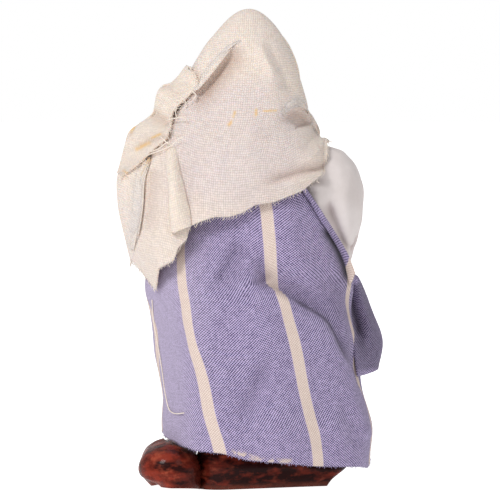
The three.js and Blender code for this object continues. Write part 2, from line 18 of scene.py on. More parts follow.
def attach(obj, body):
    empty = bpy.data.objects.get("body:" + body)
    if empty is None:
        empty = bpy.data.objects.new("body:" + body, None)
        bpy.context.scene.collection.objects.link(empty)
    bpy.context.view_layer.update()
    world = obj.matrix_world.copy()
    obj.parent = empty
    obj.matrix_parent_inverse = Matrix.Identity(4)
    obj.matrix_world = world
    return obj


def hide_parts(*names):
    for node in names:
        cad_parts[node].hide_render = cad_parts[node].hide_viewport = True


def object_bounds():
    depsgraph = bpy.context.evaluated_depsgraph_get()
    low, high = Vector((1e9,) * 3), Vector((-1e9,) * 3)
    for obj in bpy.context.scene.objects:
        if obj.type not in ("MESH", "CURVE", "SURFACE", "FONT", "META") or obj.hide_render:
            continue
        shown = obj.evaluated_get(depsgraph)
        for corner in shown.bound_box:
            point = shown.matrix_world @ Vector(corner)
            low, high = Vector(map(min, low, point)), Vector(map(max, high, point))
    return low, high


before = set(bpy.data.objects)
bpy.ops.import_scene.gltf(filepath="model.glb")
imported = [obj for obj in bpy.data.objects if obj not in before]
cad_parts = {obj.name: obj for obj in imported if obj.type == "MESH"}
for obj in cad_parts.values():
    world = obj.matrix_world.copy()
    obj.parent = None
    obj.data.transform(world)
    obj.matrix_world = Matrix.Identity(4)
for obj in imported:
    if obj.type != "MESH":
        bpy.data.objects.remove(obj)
solid_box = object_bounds()

# Sizes

FIGURE_HEIGHT = 100.0
FACING = 25.0  # degrees from +Y towards +X that she looks
METRES = (solid_box[1].z - solid_box[0].z) / FIGURE_HEIGHT  # in one millimetre of her own frame
AXIS_PLACE = (-1.517, 2.543, 0.0)  # of her own frame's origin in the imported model

VEIL_CLOTH = 0.42
SKIRT_CLOTH = 0.36

VIEW_DISTANCE = 650.0
VIEW_HEIGHT = 49.6
VIEW_TILT = math.radians(3.8)  # that the view looks down
PHOTO_MIDDLE = (250, 250)
PHOTO_MM = 0.2094  # in one pixel, at the middle of the figure

KEY_LIGHT = ((-330, -370, 560), 200, 2.4)  # place, width and watts
FILL_LIGHT = ((380, -380, 460), 300, 0.5)
AMBIENT = 0.38  # how bright the white surroundings are as light, beside what the camera sees
FLOOR_GLOW = 0.5  # and how bright the floor is
FLOOR_HALF = 3000.0
FLOOR_DROP = 0.05  # which keeps it clear of the soles

# Pose and outlines, close to the solids

HEAD_CENTRE = (0.4, 5.6, 87.2)
HEAD_HEIGHT = 18.6
BETWEEN_HEELS = (-10.6, -5.0)
LEFT_LEG = [(-14.4, -3, 9), (-9.5, 1.5, 24), (-7.5, 0, 42)]
RIGHT_LEG = [(-2.4, -2.4, 9), (2, 0.5, 24), (2.5, 0, 42)]
LEFT_ARM = [(-6, 2, 67), (-14.5, 4.5, 64.6), (-18.4, 8, 56), (-14.5, 15, 51.5), (-9.2, 18.2, 50.8)]
LEFT_ARM_RADII = [4.6, 6.6, 6.4, 4.6, 2.9]
RIGHT_ARM = [(6, 2, 66.4), (15, 3.2, 63.8), (15.8, 4, 54.5), (16.6, 7.4, 47.6), (17.8, 11.6, 44.2)]
RIGHT_ARM_RADII = [4.4, 7.6, 7.6, 5.2, 3]

TORSO = [  # height, middle x and y, half width, half depth
    (38, -1.4, 0, 15.4, 12.6),
    (45, -1.4, 0, 17, 12.8),
    (53, -1.3, 0, 14, 11),
    (60, -1.2, 0.4, 11.2, 9),
    (67, -1, 1, 11.4, 8.4),
    (72, -0.7, 2, 10.2, 7.8),
    (76, -0.4, 2.6, 6.8, 6.2),
]
SKIRT_OUTLINE = [  # height, then the left, right, back and front edges
    (3, -17.9, 25.2, -18.2, 19.5),
    (12, -18.3, 26, -18.6, 19.6),
    (20, -18.4, 24, -18.4, 19.2),
    (28, -19.4, 23.2, -17.9, 18.6),
    (36, -20.7, 21.8, -17, 17.8),
    (44, -21.6, 21.6, -15.8, 16.4),
    (53, -17.4, 18, -13.8, 13.6),
    (63, -12.6, 12.6, -11.4, 11),
]
SKIRT_EDGES = [  # turn from the back towards the right, then the heights of the hem and the top
    (-180, 10.2, 50),
    (-130, 11, 54),
    (-88, 11.5, 57),
    (-45, 9.6, 61),
    (-12, 8.7, 62.5),
    (12, 7.4, 62.5),
    (32, 5.4, 62.5),
    (52, 4.6, 62.4),
    (72, 4.4, 58.6),
    (88, 4.6, 49),
    (104, 6.6, 42.5),
    (140, 9.4, 43),
]
FLAP_OUTLINE = [  # turn, how far the lifted end stands out, and its lower edge
    (84, -0.8, 23.2),
    (92, 2.2, 23.4),
    (101, 6.2, 24.0),
    (114, 7.4, 24.2),
    (135, 6, 25.4),
    (160, 4, 28),
    (190, 2.8, 32),
    (212, 2, 35.5),
    (224, -0.4, 38),
]
FLAP_TOP = 45.5
FLAP_BAG = [  # how far down the lifted end, then how much of its stand-out it has there
    (0, 0.04),
    (0.3, 0.56),
    (0.7, 0.87),
    (1, 0.62),
]
VEIL_OUTLINE = [  # how far below the crown, middle x and y, then left, right, back and front
    (0, -0.2, 4, 0, 0, 0, 0),
    (3.2, -0.3, 4.6, 5.4, 5.3, 5.7, 6.6),
    (6.4, -0.5, 5, 7.9, 7.8, 8.6, 9.6),
    (10.6, -0.8, 5.2, 10.2, 10.1, 10.8, 11.8),
    (19, -1.5, 5, 13.6, 13.4, 13.2, 12.6),
    (23.1, -2, 4.4, 16.6, 15, 14, 12.8),
    (27.3, -3, 3.6, 20, 18.6, 14.8, 14.4),
    (33, -4, 3, 22.8, 21.8, 15.6, 17.4),
    (40, -4.6, 2.4, 22.6, 23, 16.6, 19.6),
    (50, -4.4, 2, 20.9, 23, 18, 19),
    (60, -4, 1.6, 18.2, 23, 19.2, 18),
]
VEIL_HEM = [  # turn and height
    (-180, 56),
    (-150, 51),
    (-120, 47),
    (-90, 46.6),
    (-66, 44.4),
    (-52, 41.6),
    (-45, 46.6),
    (-36, 51.4),
    (-31, 56),
    (-8, 57.4),
    (16, 59.4),
    (44, 62.6),
    (66, 66.4),
    (82, 71.4),
    (96, 73.2),
    (116, 71.6),
    (150, 64),
]
FACE_OPENING = (6.9, 8.8)  # half width and half height
FACE_DROP = 13.4  # its middle below the crown
FACE_HEM = (0.75, 0.5)  # half width and half thickness of its rolled hem


# Numbers and curves


def step(low, high, x):
    t = np.clip((x - low) / (high - low), 0, 1)
    return t * t * (3 - 2 * t)


def bell(x, width):
    return np.exp(-((x / width) ** 2))


def lerp(a, b, t):
    return a + (b - a) * t


def within(bounds, x):
    """A share that comes between the first two bounds and goes between the last two."""
    comes, full, goes, gone = bounds
    return step(comes, full, x) * (1 - step(goes, gone, x))


def smooth_table(rows):
    """A smooth curve through the rows of a table, as a function of its first column."""
    table = np.array(rows, float)
    places, values = table[:, 0], table[:, 1:]
    secants = np.diff(values, axis=0) / np.diff(places)[:, None]
    slopes = np.vstack([secants[:1], (secants[1:] + secants[:-1]) / 2, secants[-1:]])

    def at(place):
        place = np.clip(place, places[0], places[-1])
        k = np.clip(np.searchsorted(places, place, side="right") - 1, 0, len(places) - 2)
        width = (places[k + 1] - places[k])[..., None]
        t = (place - places[k])[..., None] / width
        found = values[k] * (1 + 2 * t) * (1 - t) ** 2 + values[k + 1] * t**2 * (3 - 2 * t)
        found += width * t * (1 - t) * (slopes[k] * (1 - t) - slopes[k + 1] * t)
        return np.moveaxis(found, -1, 0)

    return at


def round_table(rows):
    """The same for a table whose first column is a turn that goes once round."""
    rounds = [(row[0] + by, *row[1:]) for by in (-360, 0, 360) for row in rows]
    found = smooth_table(rounds)
    return lambda turn: found((turn + 180) % 360 - 180)


def curve_through(points, count):
    """Evenly numbered points on a smooth curve through a few given ones."""
    places = np.arange(len(points))
    rows = [(place, *point) for place, point in zip(places, points)]
    return smooth_table(rows)(np.linspace(0, len(points) - 1, count)).T


def spread(points, shares):
    """Points on a smooth curve through a few, at shares of the way along."""
    points = np.array(points, float)
    lengths = np.linalg.norm(np.diff(points, axis=0), axis=1)
    places = np.concatenate([[0], np.cumsum(lengths)]) / lengths.sum()
    rows = np.concatenate([places[:, None], points], axis=1)
    return np.moveaxis(smooth_table(rows)(np.asarray(shares, float)), 0, -1)


def unit(vectors):
    return vectors / np.maximum(np.linalg.norm(vectors, axis=-1, keepdims=True), 1e-12)


def wander(points, size, seed, waves=14):
    """Smooth noise between about -1 and 1 with bumps of a size, the same on every run."""
    rng = np.random.default_rng(seed)
    directions = unit(rng.normal(size=(waves, 3)))
    lengths = size * rng.uniform(1.2, 3.0, waves)
    phases = rng.uniform(0, 2 * math.pi, waves)
    total = np.zeros(points.shape[:-1])
    for direction, length, phase in zip(directions, lengths, phases):
        total += np.sin(points @ direction * (2 * math.pi / length) + phase)
    return total * math.sqrt(2 / waves) / 2


def roughened(points, normals, bumps, share=1.0):
    """A surface with soft bumps on it, each noise given by its height, size and seed."""
    rise = share * sum(height * wander(points, size, seed) for height, size, seed in bumps)
    return points + rise[..., None] * normals


# Places: the figure's own frame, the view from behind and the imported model


def seen(points):
    """The photograph pixels at which places in the figure's own frame are seen."""
    away = np.array([0, math.cos(VIEW_TILT), -math.sin(VIEW_TILT)])
    up = np.array([0, math.sin(VIEW_TILT), math.cos(VIEW_TILT)])
    from_middle = points - np.array([0, 0, VIEW_HEIGHT])
    near = VIEW_DISTANCE / (VIEW_DISTANCE + from_middle @ away) / PHOTO_MM
    across = PHOTO_MIDDLE[0] + points[..., 0] * near
    down = PHOTO_MIDDLE[1] - (from_middle @ up) * near
    return np.stack([across, down], axis=-1)


def spun(points, degrees):
    """Points turned round the upright axis."""
    angle = math.radians(degrees)
    c, s = math.cos(angle), math.sin(angle)
    x, y = points[..., 0], points[..., 1]
    return np.stack([c * x - s * y, s * x + c * y, points[..., 2]], axis=-1)


def turned(points):
    return spun(points, 180 + FACING)


def stand(points):
    """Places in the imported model's frame, in metres."""
    return (turned(np.asarray(points, float)) + AXIS_PLACE) * METRES


def unseen(pixels, depth):
    """The places at a depth along +Y that are seen at photograph pixels."""
    c, s = math.cos(VIEW_TILT), math.sin(VIEW_TILT)
    slope = (PHOTO_MIDDLE[1] - pixels[..., 1]) * PHOTO_MM / VIEW_DISTANCE
    up = (slope * (VIEW_DISTANCE + depth * c) - depth * s) / (c + slope * s)
    away = depth * c - up * s
    across = (pixels[..., 0] - PHOTO_MIDDLE[0]) * PHOTO_MM * (VIEW_DISTANCE + away) / VIEW_DISTANCE
    return np.stack([across, depth, up + VIEW_HEIGHT], axis=-1)


# Meshes


def mesh_object(name, vertices, faces, uvs=None, material=None, marks=None):
    """A piece with its UV maps by name, a pair for each corner, and a mark for each vertex."""
    mesh = bpy.data.meshes.new(name)
    mesh.from_pydata(stand(vertices).tolist(), [], faces)
    for label, values in (uvs or {}).items():
        layer = mesh.uv_layers.new(name=label)
        layer.data.foreach_set("uv", np.asarray(values, np.float32).ravel())
    for label, values in (marks or {}).items():
        attribute = mesh.attributes.new(label, "FLOAT", "POINT")
        attribute.data.foreach_set("value", np.asarray(values, np.float32).ravel())
    mesh.polygons.foreach_set("use_smooth", np.ones(len(mesh.polygons), bool))
    piece = bpy.data.objects.new(name, mesh)
    bpy.context.scene.collection.objects.link(piece)
    if material is not None:
        mesh.materials.append(material)
    return piece


def thicken(piece, thickness):
    """Gives a cloth its thickness, inward from its outer side."""
    wall = piece.modifiers.new("wall", "SOLIDIFY")
    wall.thickness = thickness * METRES
    wall.offset = -1.0


def tidy_mesh(piece):
    """Merges corners that fell together and drops loose ones."""
    mesh = bmesh.new()
    mesh.from_mesh(piece.data)
    bmesh.ops.remove_doubles(mesh, verts=mesh.verts, dist=1e-7)
    bmesh.ops.dissolve_degenerate(mesh, edges=mesh.edges, dist=1e-7)
    loose = [vertex for vertex in mesh.verts if not vertex.link_faces]
    bmesh.ops.delete(mesh, geom=loose, context="VERTS")
    mesh.to_mesh(piece.data)
    mesh.free()


def outward(piece):
    """Turns all its faces outward."""
    mesh = bmesh.new()
    mesh.from_mesh(piece.data)
    bmesh.ops.recalc_face_normals(mesh, faces=mesh.faces)
    mesh.to_mesh(piece.data)
    mesh.free()


def remesh(piece, voxel, smoothing):
    """Makes the piece one skin of small even faces, softened."""
    blocks = piece.modifiers.new("skin", "REMESH")
    blocks.mode = "VOXEL"
    blocks.voxel_size = voxel * METRES
    blocks.use_smooth_shade = True
    soften = piece.modifiers.new("soften", "SMOOTH")
    soften.iterations = smoothing
    soften.factor = 0.5
    evaluated = piece.evaluated_get(bpy.context.evaluated_depsgraph_get())
    mesh = bpy.data.meshes.new_from_object(evaluated)
    piece.modifiers.clear()
    piece.data = mesh


def dress(piece, node):
    """Hangs a piece on the figure in place of a solid, which it hides."""
    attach(piece, "root")
    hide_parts(node)


def grid_normals(points, closed):
    """Unit normals of a grid of rows and columns, closed when its last column is its first."""
    if closed:
        padded = np.concatenate([points[:, -2:-1], points, points[:, 1:2]], axis=1)
        along = np.gradient(padded, axis=1)[:, 1:-1]
    else:
        along = np.gradient(points, axis=1)
    return unit(np.cross(along, np.gradient(points, axis=0)))


def grid_faces(rows, columns, closed, first=0):
    """Quads of a grid, and for each of their corners the place of its UV in the grid."""
    wide = columns - 1 if closed else columns
    i, j = np.meshgrid(np.arange(rows - 1), np.arange(columns - 1), indexing="ij")
    i, j = i.ravel(), j.ravel()
    corners = [(i, j), (i, j + 1), (i + 1, j + 1), (i + 1, j)]
    faces = np.stack([first + a * wide + b % wide for a, b in corners], axis=1)
    places = np.stack([a * columns + b for a, b in corners], axis=1)
    return faces, places


def at_corners(grid_uvs, places):
    """UV maps with a pair for each corner, from maps with a pair for each point of a grid."""
    return {label: values.reshape(-1, 2)[places].reshape(-1, 2) for label, values in grid_uvs.items()}


def arc_lengths(points, axis):
    """How far along its row or column each point of a grid lies, in millimetres."""
    steps = np.linalg.norm(np.diff(points, axis=axis), axis=-1)
    start = np.zeros_like(np.take(steps, [0], axis=axis))
    return np.concatenate([start, np.cumsum(steps, axis=axis)], axis=axis)


def oval_reach(turn, left, right, back, front):
    """How far an oval reaches from its middle at a turn from the back towards the right."""
    s, c = np.sin(np.radians(turn)), np.cos(np.radians(turn))
    return 1 / np.hypot(s / np.where(s > 0, right, left), c / np.where(c > 0, back, front))


def round_place(turn, x, y, reach, height):
    """A place at a turn from the back towards the right, and how far it is from a middle."""
    s, c = np.sin(np.radians(turn)), np.cos(np.radians(turn))
    return np.stack([x + reach * s, y - reach * c, height + 0 * reach], axis=-1)


# Folds, each along a line of photograph pixels


TOWARDS_VIEW = (0.12, 1, 0.25)  # how much of each part of a normal a fold rises along
SHOWN_FACING = (0.02, 0.25)  # how far a surface faces the view where folds start to show, and show fully
LINE_POINTS = 90  # on the line of each fold
PIXELS_AROUND = 90  # beyond the line, to where a fold is worked out
FAR_AWAY = 1e3
FOLD_FALL = 1.7  # the higher, the flatter its crest and the steeper its sides


def faded_ends(along, start, end):
    """A share that comes in over the start of a line and goes out over its end."""
    comes = step(0, start, along) if start else 1.0
    goes = step(0, end, 1 - along) if end else 1.0
    return comes * goes


class Fold:
    """A ridge, or where rise is negative a valley, that fades over its width at either side.

    Its left and right are those of someone who walks down the line. A narrow side beside a wide
    one makes a ledge. Its shade value is painted shade: how much darker the fold's colour is made,
    as if shadow fell in it.
    """

    def __init__(self, line, rise, left, right, ends=(0.15, 0.15), painted_shade=0.0):
        self.line = curve_through(line, LINE_POINTS)
        self.rise, self.left, self.right, self.ends, self.painted_shade = rise, left, right, ends, painted_shade

    def measure(self, pixels):
        """For each place, millimetres to the right of the line and the share of the way along."""
        low = self.line.min(axis=0) - PIXELS_AROUND
        high = self.line.max(axis=0) + PIXELS_AROUND
        near = np.all((pixels > low) & (pixels < high), axis=-1)
        aside = np.full(pixels.shape[:-1], FAR_AWAY)
        along = np.zeros(pixels.shape[:-1])
        there = pixels[near]
        runs = np.diff(self.line, axis=0)
        lengths = np.linalg.norm(runs, axis=1)
        middles = (self.line[1:] + self.line[:-1]) / 2
        nearest = np.linalg.norm(there[:, None] - middles[None], axis=-1).argmin(axis=1)
        offset = there - middles[nearest]
        way = runs[nearest] / lengths[nearest][:, None]
        forward = np.einsum("ij,ij->i", offset, way) / lengths[nearest]
        across = way[:, 0] * offset[:, 1] - way[:, 1] * offset[:, 0]
        past = np.maximum(np.abs(forward) - 0.5, 0) * lengths[nearest]
        inner = (nearest > 0) & (nearest < len(lengths) - 1)
        past = np.where(inner, 0, past)
        aside[near] = np.sign(across) * np.hypot(across, past) * PHOTO_MM
        along[near] = (nearest + 0.5 + np.clip(forward, -0.5, 0.5)) / len(lengths)
        return aside, along

    def shape(self, pixels):
        """How far it lifts each place, and the shade painted there."""
        aside, along = self.measure(pixels)
        width = np.where(aside > 0, self.right, self.left)
        near = np.exp(-np.abs(aside / width) ** FOLD_FALL) * faded_ends(along, *self.ends)
        return self.rise * near, self.painted_shade * near


def folded(points, normals, folds):
    """A surface with its folds, which show where it faces the view, and the shade painted in them."""
    pixels = seen(points)
    shown = step(*SHOWN_FACING, -normals[..., 1])
    lift = np.zeros(points.shape[:-1])
    painted_shade = np.zeros(points.shape[:-1])
    for fold in folds:
        more, fold_shade = fold.shape(pixels)
        lift += more * shown
        painted_shade = np.maximum(painted_shade, fold_shade * shown)
    return points + lift[..., None] * unit(normals * TOWARDS_VIEW), painted_shade


LIMB_POINTS = 60


def limb_line(limb, radii, count):
    """Points on the middle line of a limb, and its radius at each."""
    return curve_through(limb, count), curve_through([(radius, 0) for radius in radii], count)[:, 0]


def rest_on(points, limb, radii, clearance):
    """Points moved outwards where they would lie inside a limb, as cloth laid over it."""
    line, reach = limb_line(limb, radii, LIMB_POINTS)
    reach = reach + clearance
    gap = points[..., None, :] - line
    distance = np.linalg.norm(gap, axis=-1)
    depth = reach - distance
    deepest = depth.argmax(axis=-1)
    taken = np.take_along_axis(depth, deepest[..., None], axis=-1)[..., 0]
    way = unit(points - line[deepest])
    return points + np.maximum(taken, 0)[..., None] * way


class Backdrop:
    """A surface seen from behind, on which things are laid by their photograph pixels."""

    NEIGHBOURS = 6
    SOFTENING = 0.05  # pixels, added to each distance before it is turned into a weight
    LEAST_FACING = 0.05  # how far a point has to face the view to be taken in

    def __init__(self, points, normals, uvs=None):
        facing = normals[..., 1] < -self.LEAST_FACING
        self.points, self.normals = points[facing], normals[facing]
        self.uvs = {label: values[facing] for label, values in (uvs or {}).items()}
        self.pixels = seen(self.points)
        self.tree = KDTree(len(self.pixels))
        for number, (x, y) in enumerate(self.pixels):
            self.tree.insert((x, y, 0), number)
        self.tree.balance()

    def near(self, pixels):
        """For each pixel the numbers of the nearest known points, and their weights."""
        found = [self.tree.find_n((x, y, 0), self.NEIGHBOURS) for x, y in pixels.reshape(-1, 2)]
        numbers = np.array([[number for _, number, _ in near] for near in found])
        distances = np.array([[distance for _, _, distance in near] for near in found])
        weights = 1 / (self.SOFTENING + distances)
        return numbers, weights / weights.sum(axis=1, keepdims=True)

    def at(self, pixels, rise=0.0):
        """Places seen at the pixels, on the surface or nearer by a rise, and its normals there."""
        numbers, weights = self.near(pixels)
        normals = unit(np.einsum("ij,ijk->ik", weights, self.normals[numbers]))
        depths = np.einsum("ij,ij->i", weights, self.points[numbers][..., 1])
        depths -= np.broadcast_to(rise, pixels.shape[:-1]).ravel()
        places = unseen(pixels.reshape(-1, 2), depths)
        shape = (*pixels.shape[:-1], 3)
        return places.reshape(shape), normals.reshape(shape)

    def uv_at(self, pixels):
        numbers, weights = self.near(pixels)
        found = {}
        for label, values in self.uvs.items():
            found[label] = np.einsum("ij,ijk->ik", weights, values[numbers]).reshape(*pixels.shape[:-1], 2)
        return found


def strip(backdrop, left, right, shape):
    """A strip between two lines: the shares down and over it, its pixels and its places."""
    down, over = np.linspace(0, 1, shape[0]), np.linspace(0, 1, shape[1])
    left, right = spread(left, down), spread(right, down)
    pixels = lerp(left[:, None], right[:, None], over[:, None])
    return down[:, None], over, pixels, backdrop.at(pixels)[0]


SUNK = 0.45  # how far below the surface the hidden start and end of a laid fold lie
FOLD_EDGE = 0.32  # radius at which its free edge turns under
TURNED_UNDER = 0.45  # share of its width that goes back under it
LAID_RISES = 0.85  # share of its width over which it rises to its free edge
LAID_ROWS = 110
LAID_COLUMNS = (16, 9, 8)  # over it, round its edge and back under it


def laid_fold(backdrop, start, edge, rise, ends=(0.2, 0.2)):
    """A grid that leaves the surface at the start line and turns under at its free edge line."""
    down = np.linspace(0, 1, LAID_ROWS)
    starts, edges = spread(start, down), spread(edge, down)
    over = np.linspace(0, 1, LAID_COLUMNS[0])
    turn = np.linspace(0, math.pi, LAID_COLUMNS[1])[1:]
    back = np.linspace(0, 1, LAID_COLUMNS[2])[1:]
    radius = min(FOLD_EDGE, rise / 2)
    share = np.concatenate([over, 0 * turn + 1, 1 - TURNED_UNDER * back])
    beyond = np.concatenate([0 * over, radius * np.sin(turn), 0 * back]) / PHOTO_MM
    height = np.concatenate([
        lerp(-SUNK, rise, step(0, LAID_RISES, over)),
        rise - radius * (1 - np.cos(turn)),
        lerp(rise - 2 * radius, -SUNK, back),
    ])
    out = unit(edges - starts)[:, None]
    pixels = lerp(starts[:, None], edges[:, None], share[None, :, None])
    pixels = pixels + out * beyond[None, :, None]
    fade = np.broadcast_to(faded_ends(down, *ends), down.shape)[:, None]
    grid, _ = backdrop.at(pixels, lerp(-SUNK, height[None], fade))
    run = [0 * over, radius * turn, radius * math.pi + 2 * TURNED_UNDER * back]
    run = np.concatenate(run) / PHOTO_MM
    unrolled = lerp(starts[:, None], edges[:, None], np.minimum(share, 1)[None, :, None])
    unrolled[:, len(over):] = edges[:, None]
    return grid, backdrop.uv_at(unrolled + out * run[None, :, None])


def joined_grid(vertices, faces, uvs, grid, grid_uvs):
    """The lists of a piece with an open grid joined on, its faces turned towards the view."""
    rows, columns = grid.shape[:2]
    if grid_normals(grid, closed=False)[rows // 2, columns // 3, 1] > 0:
        grid = grid[::-1]
        grid_uvs = {label: values[::-1] for label, values in grid_uvs.items()}
    more, places = grid_faces(rows, columns, closed=False, first=len(vertices))
    grid_uvs = at_corners(grid_uvs, places)
    uvs = {label: np.vstack([values, grid_uvs[label]]) for label, values in uvs.items()}
    return np.vstack([vertices, grid.reshape(-1, 3)]), np.vstack([faces, more]), uvs


STAINS_DEPTH = 8  # up to which a spot that is seen from behind is taken to be on the cloth


def stained(vertices, spots):
    """How stained each vertex is, from spots of two ends and a width, in photograph pixels."""
    pixels = seen(vertices)
    stain = np.zeros(len(vertices))
    for x, y, end_x, end_y, width in spots:
        run = np.array([end_x - x, end_y - y], float)
        from_start = pixels - (x, y)
        share = np.clip(from_start @ run / max(run @ run, 1e-9), 0, 1)
        away = np.linalg.norm(from_start - share[:, None] * run, axis=1)
        stain = np.maximum(stain, bell(away, width))
    return stain * (vertices[:, 1] < STAINS_DEPTH)


# Skirt cloth

SKIRT_STAINS = [
    (234, 452, 250, 457, 2.2),
    (250, 457, 262, 460, 2.0),
    (268, 461, 290, 461, 1.8),
]
skirt_outline = smooth_table(SKIRT_OUTLINE)
skirt_edges = round_table(SKIRT_EDGES)
flap_outline = smooth_table(FLAP_OUTLINE)
flap_bag = smooth_table(FLAP_BAG)
STRIPE_SPACING = 20.5
STRIPE_WIDTH = 2.45
STRIPE_EDGE = 0.06  # half the width over which its colour changes
FLAP_CLOTH_START = 3.12  # stripe spacings from the first stripe to where the lifted end starts
STRIPE_PIXELS = [  # the middle lines of the stripes that show, from the left
    [(144, 296), (152, 312), (157.5, 330), (160, 352), (161, 380), (161, 430)],
    [(182, 236), (181, 270), (183, 300), (190, 340), (203, 385), (213, 425), (220, 452)],
    [
        (265, 205), (270, 260), (272.5, 283), (281, 294),
        (284.5, 305), (300, 370), (307.5, 410), (318, 465),
    ],
    [
        (349, 268), (348, 300), (353, 325), (357.5, 340), (360, 352),
        (358.5, 364), (360, 380), (363, 396), (371, 436),
    ],
]
LEFT_STRIPE_BEYOND = 0.85  # how far past the edge that shows the middle of the first stripe lies
RIGHT_STRIPE_BEYOND = 2.2  # and that of the last stripe, at its lower end
RIGHT_STRIPE_LEAVES = (14, 23)  # the heights between which it goes there
WEFT_SLOPE = 0.13  # how much the crosswise threads climb towards the right
DART_TAKE = 1.5  # how much cloth the dart takes up, by which the cloth below it is shifted
DART_PIXELS = [
    (250, 280), (268, 286.5), (281, 292), (304, 306),
    (328, 322), (343, 349), (355, 368), (366, 403),
]
DART_REACH = (-62, -20, 86, 125)  # the turns between which the shift of the cloth comes and goes
DART_SOFTENS = (266, 200)  # from the one pixel column to the other its edge melts into the cloth
DART_EDGE = (0.4, 60)  # pixels over which the shift comes, where the edge is sharp and where it has melted
LIT_LEFT = (158, 225, -4, 16)  # the pixel columns and the depths between which the painted light on the skirt's left ends

# Where a fold is given a shade value, that is painted shade: darker colour in the dart, the band's gap and
# the right side. Folds with no rise are painted shade alone.
SKIRT_FOLDS = [
    Fold(DART_PIXELS, -2.4, left=4.0, right=0.45, ends=(0.14, 0.12), painted_shade=0.25),
    Fold(
        [(289, 297), (304, 306), (328, 322), (343, 349), (352, 363)],
        0, 0.5, 0.3, ends=(0.2, 0.2), painted_shade=0.75,
    ),
    Fold([(330, 326), (342, 345), (350, 362)], -0.6, 1.7, 0.4, ends=(0.4, 0.2), painted_shade=0.5),
    Fold([(321, 224), (333, 240), (344, 262), (350, 288)], -1.0, 1.0, 1.1, ends=(0.2, 0.2), painted_shade=1.0),
    Fold([(280, 205), (290, 235), (306, 270), (322, 296)], 1.2, 3.0, 3.5, ends=(0.3, 0.3)),
    Fold([(244, 236), (230, 264), (213, 294)], -1.7, 2.6, 1.6, ends=(0.3, 0.3), painted_shade=0.2),
    Fold([(256, 246), (262, 268), (266, 284)], -1.5, 1.2, 2.6, ends=(0.4, 0.1), painted_shade=0.2),
    Fold([(232, 300), (246, 282), (262, 272)], 1.0, 1.8, 2.2, ends=(0.3, 0.2)),
    Fold([(215, 235), (222, 262), (240, 290)], 0.7, 3.0, 4.0, ends=(0.3, 0.4)),
    Fold([(275, 352), (262, 380), (249, 405), (243, 430)], -1.6, 1.3, 2.2, ends=(0.3, 0.3), painted_shade=0.12),
    Fold([(268, 300), (262, 330), (250, 360)], 0.7, 4.0, 4.0, ends=(0.3, 0.3)),
    Fold([(215, 300), (222, 340), (238, 390)], 0.6, 4.0, 4.0, ends=(0.3, 0.3)),
    Fold([(330, 395), (320, 425), (326, 455)], -0.8, 2.6, 3.0, ends=(0.3, 0.1)),
    Fold([(350, 385), (356, 405), (366, 425), (368, 440)], 0.9, 1.6, 1.4),
    Fold([(342, 400), (350, 425), (356, 450)], -0.9, 2.0, 1.4),
    Fold([(166, 300), (172, 350), (178, 420)], -0.5, 2.0, 3.0),
    Fold([(206, 236), (200, 262), (202, 300)], -0.5, 2.0, 3.0, ends=(0.1, 0.4)),
    Fold([(322, 206), (338, 240), (346, 268)], 0, 9.0, 2.0, ends=(0.15, 0.2), painted_shade=0.24),
    Fold([(328, 270), (336, 300), (350, 330)], 0, 3.4, 3.4, ends=(0.3, 0.2), painted_shade=0.28),
]
BAND_LEFT = [(299, 186), (309, 201), (319, 218), (331, 237), (342, 257), (349, 283)]
BAND_RIGHT = [(303.5, 184), (314.5, 200), (325, 216), (337, 235), (348, 254), (355, 272)]
BAND_GRID = (90, 16)
BAND_CLOTH = 1.6 * SKIRT_CLOTH
BAND_RISE = 0.8
BAND_CROWN = 0.35  # how much further its middle rises
BAND_LEAN = 0.2  # how much deeper its right side lies
STITCHED = (0.34, 0.84)  # from the one share of the band to the other
STITCHES_ACROSS = 0.45
STITCHES_RISE = 1.05
STITCH_LINE_POINTS = 60
BAND_CREAM_TIP = 4.0  # how much of the band's lower end is cream
# Where a fold is given a shade value, that is painted shade: the lifted end's face and pocket are painted
# darker, since they turn away from the light.
FLAP_FOLDS = [
    Fold([(351, 280), (355, 305), (360, 326), (365, 350)], -2.4, 0.5, 1.6, ends=(0.1, 0.3), painted_shade=0.92),
    Fold([(355, 278), (361, 300), (367, 320), (373, 345)], 1.5, 1.3, 0.8, ends=(0, 0.3)),
    Fold([(356, 306), (362, 336), (366, 360)], 0, 1.8, 3.4, ends=(0.2, 0.1), painted_shade=0.6),
    Fold([(362, 280), (372, 320), (375, 372)], 0, 4.0, 7.0, ends=(0.05, 0.05), painted_shade=0.55),
]
FLAP_SLACK = 0.6  # share of the cloth taken up in its folds that its crosswise threads show
FLAP_HELD = (100, 122)  # the turns between which its bag gives way to cloth that is held up
FLAP_HELD_OUT = (0.36, 0.62)  # how much of its stand-out that has at its upper and its lower edge
FLAP_HELD_BULGE = (0.4, 1.3)  # and how much more between them, lower the greater the second is
FLAP_SWAGS = [  # depth, half waves on the way up, slant, and the turns between which they come
    (0.6, 3, 2.2, 110, 140),
    (0.35, 5.5, 3.1, 120, 160),
]
FLAP_SWAGS_END = (195, 212)  # the turns between which they go
FLUTES = (0.45, 7, 40)  # depth of the skirt's flutes, how many go round it, and where they start
FLUTES_END = (26, 58)  # the heights between which they go
SKIRT_GRID = (300, 136)  # columns round it and rows up it
FLAP_GRID = (110, 46)
SKIRT_BUMPS = [(0.3, 9.0, 3), (0.1, 3.5, 4)]  # height, size and seed of each
FLAP_BUMPS = [(0.12, 4.0, 8)]
SKIRT_HEM_SHOWN = (-86, -78, 76, 84)  # the turns between which its hem keeps to the photograph's
SKIRT_SOFTENED = 24  # passes that soften the slack its threads show
FLAP_SOFTENED = 40


def skirt_place(turn, height, out=0.0):
    left, right, back, front = skirt_outline(height)
    half = (right - left) / 2
    reach = oval_reach(turn, half, half, -back, front)
    depth, count, start = FLUTES
    flutes = depth * np.sin(np.radians(count * turn + start)) * (1 - step(*FLUTES_END, height))
    return round_place(turn, (left + right) / 2, 0.0, reach + flutes + out, height)


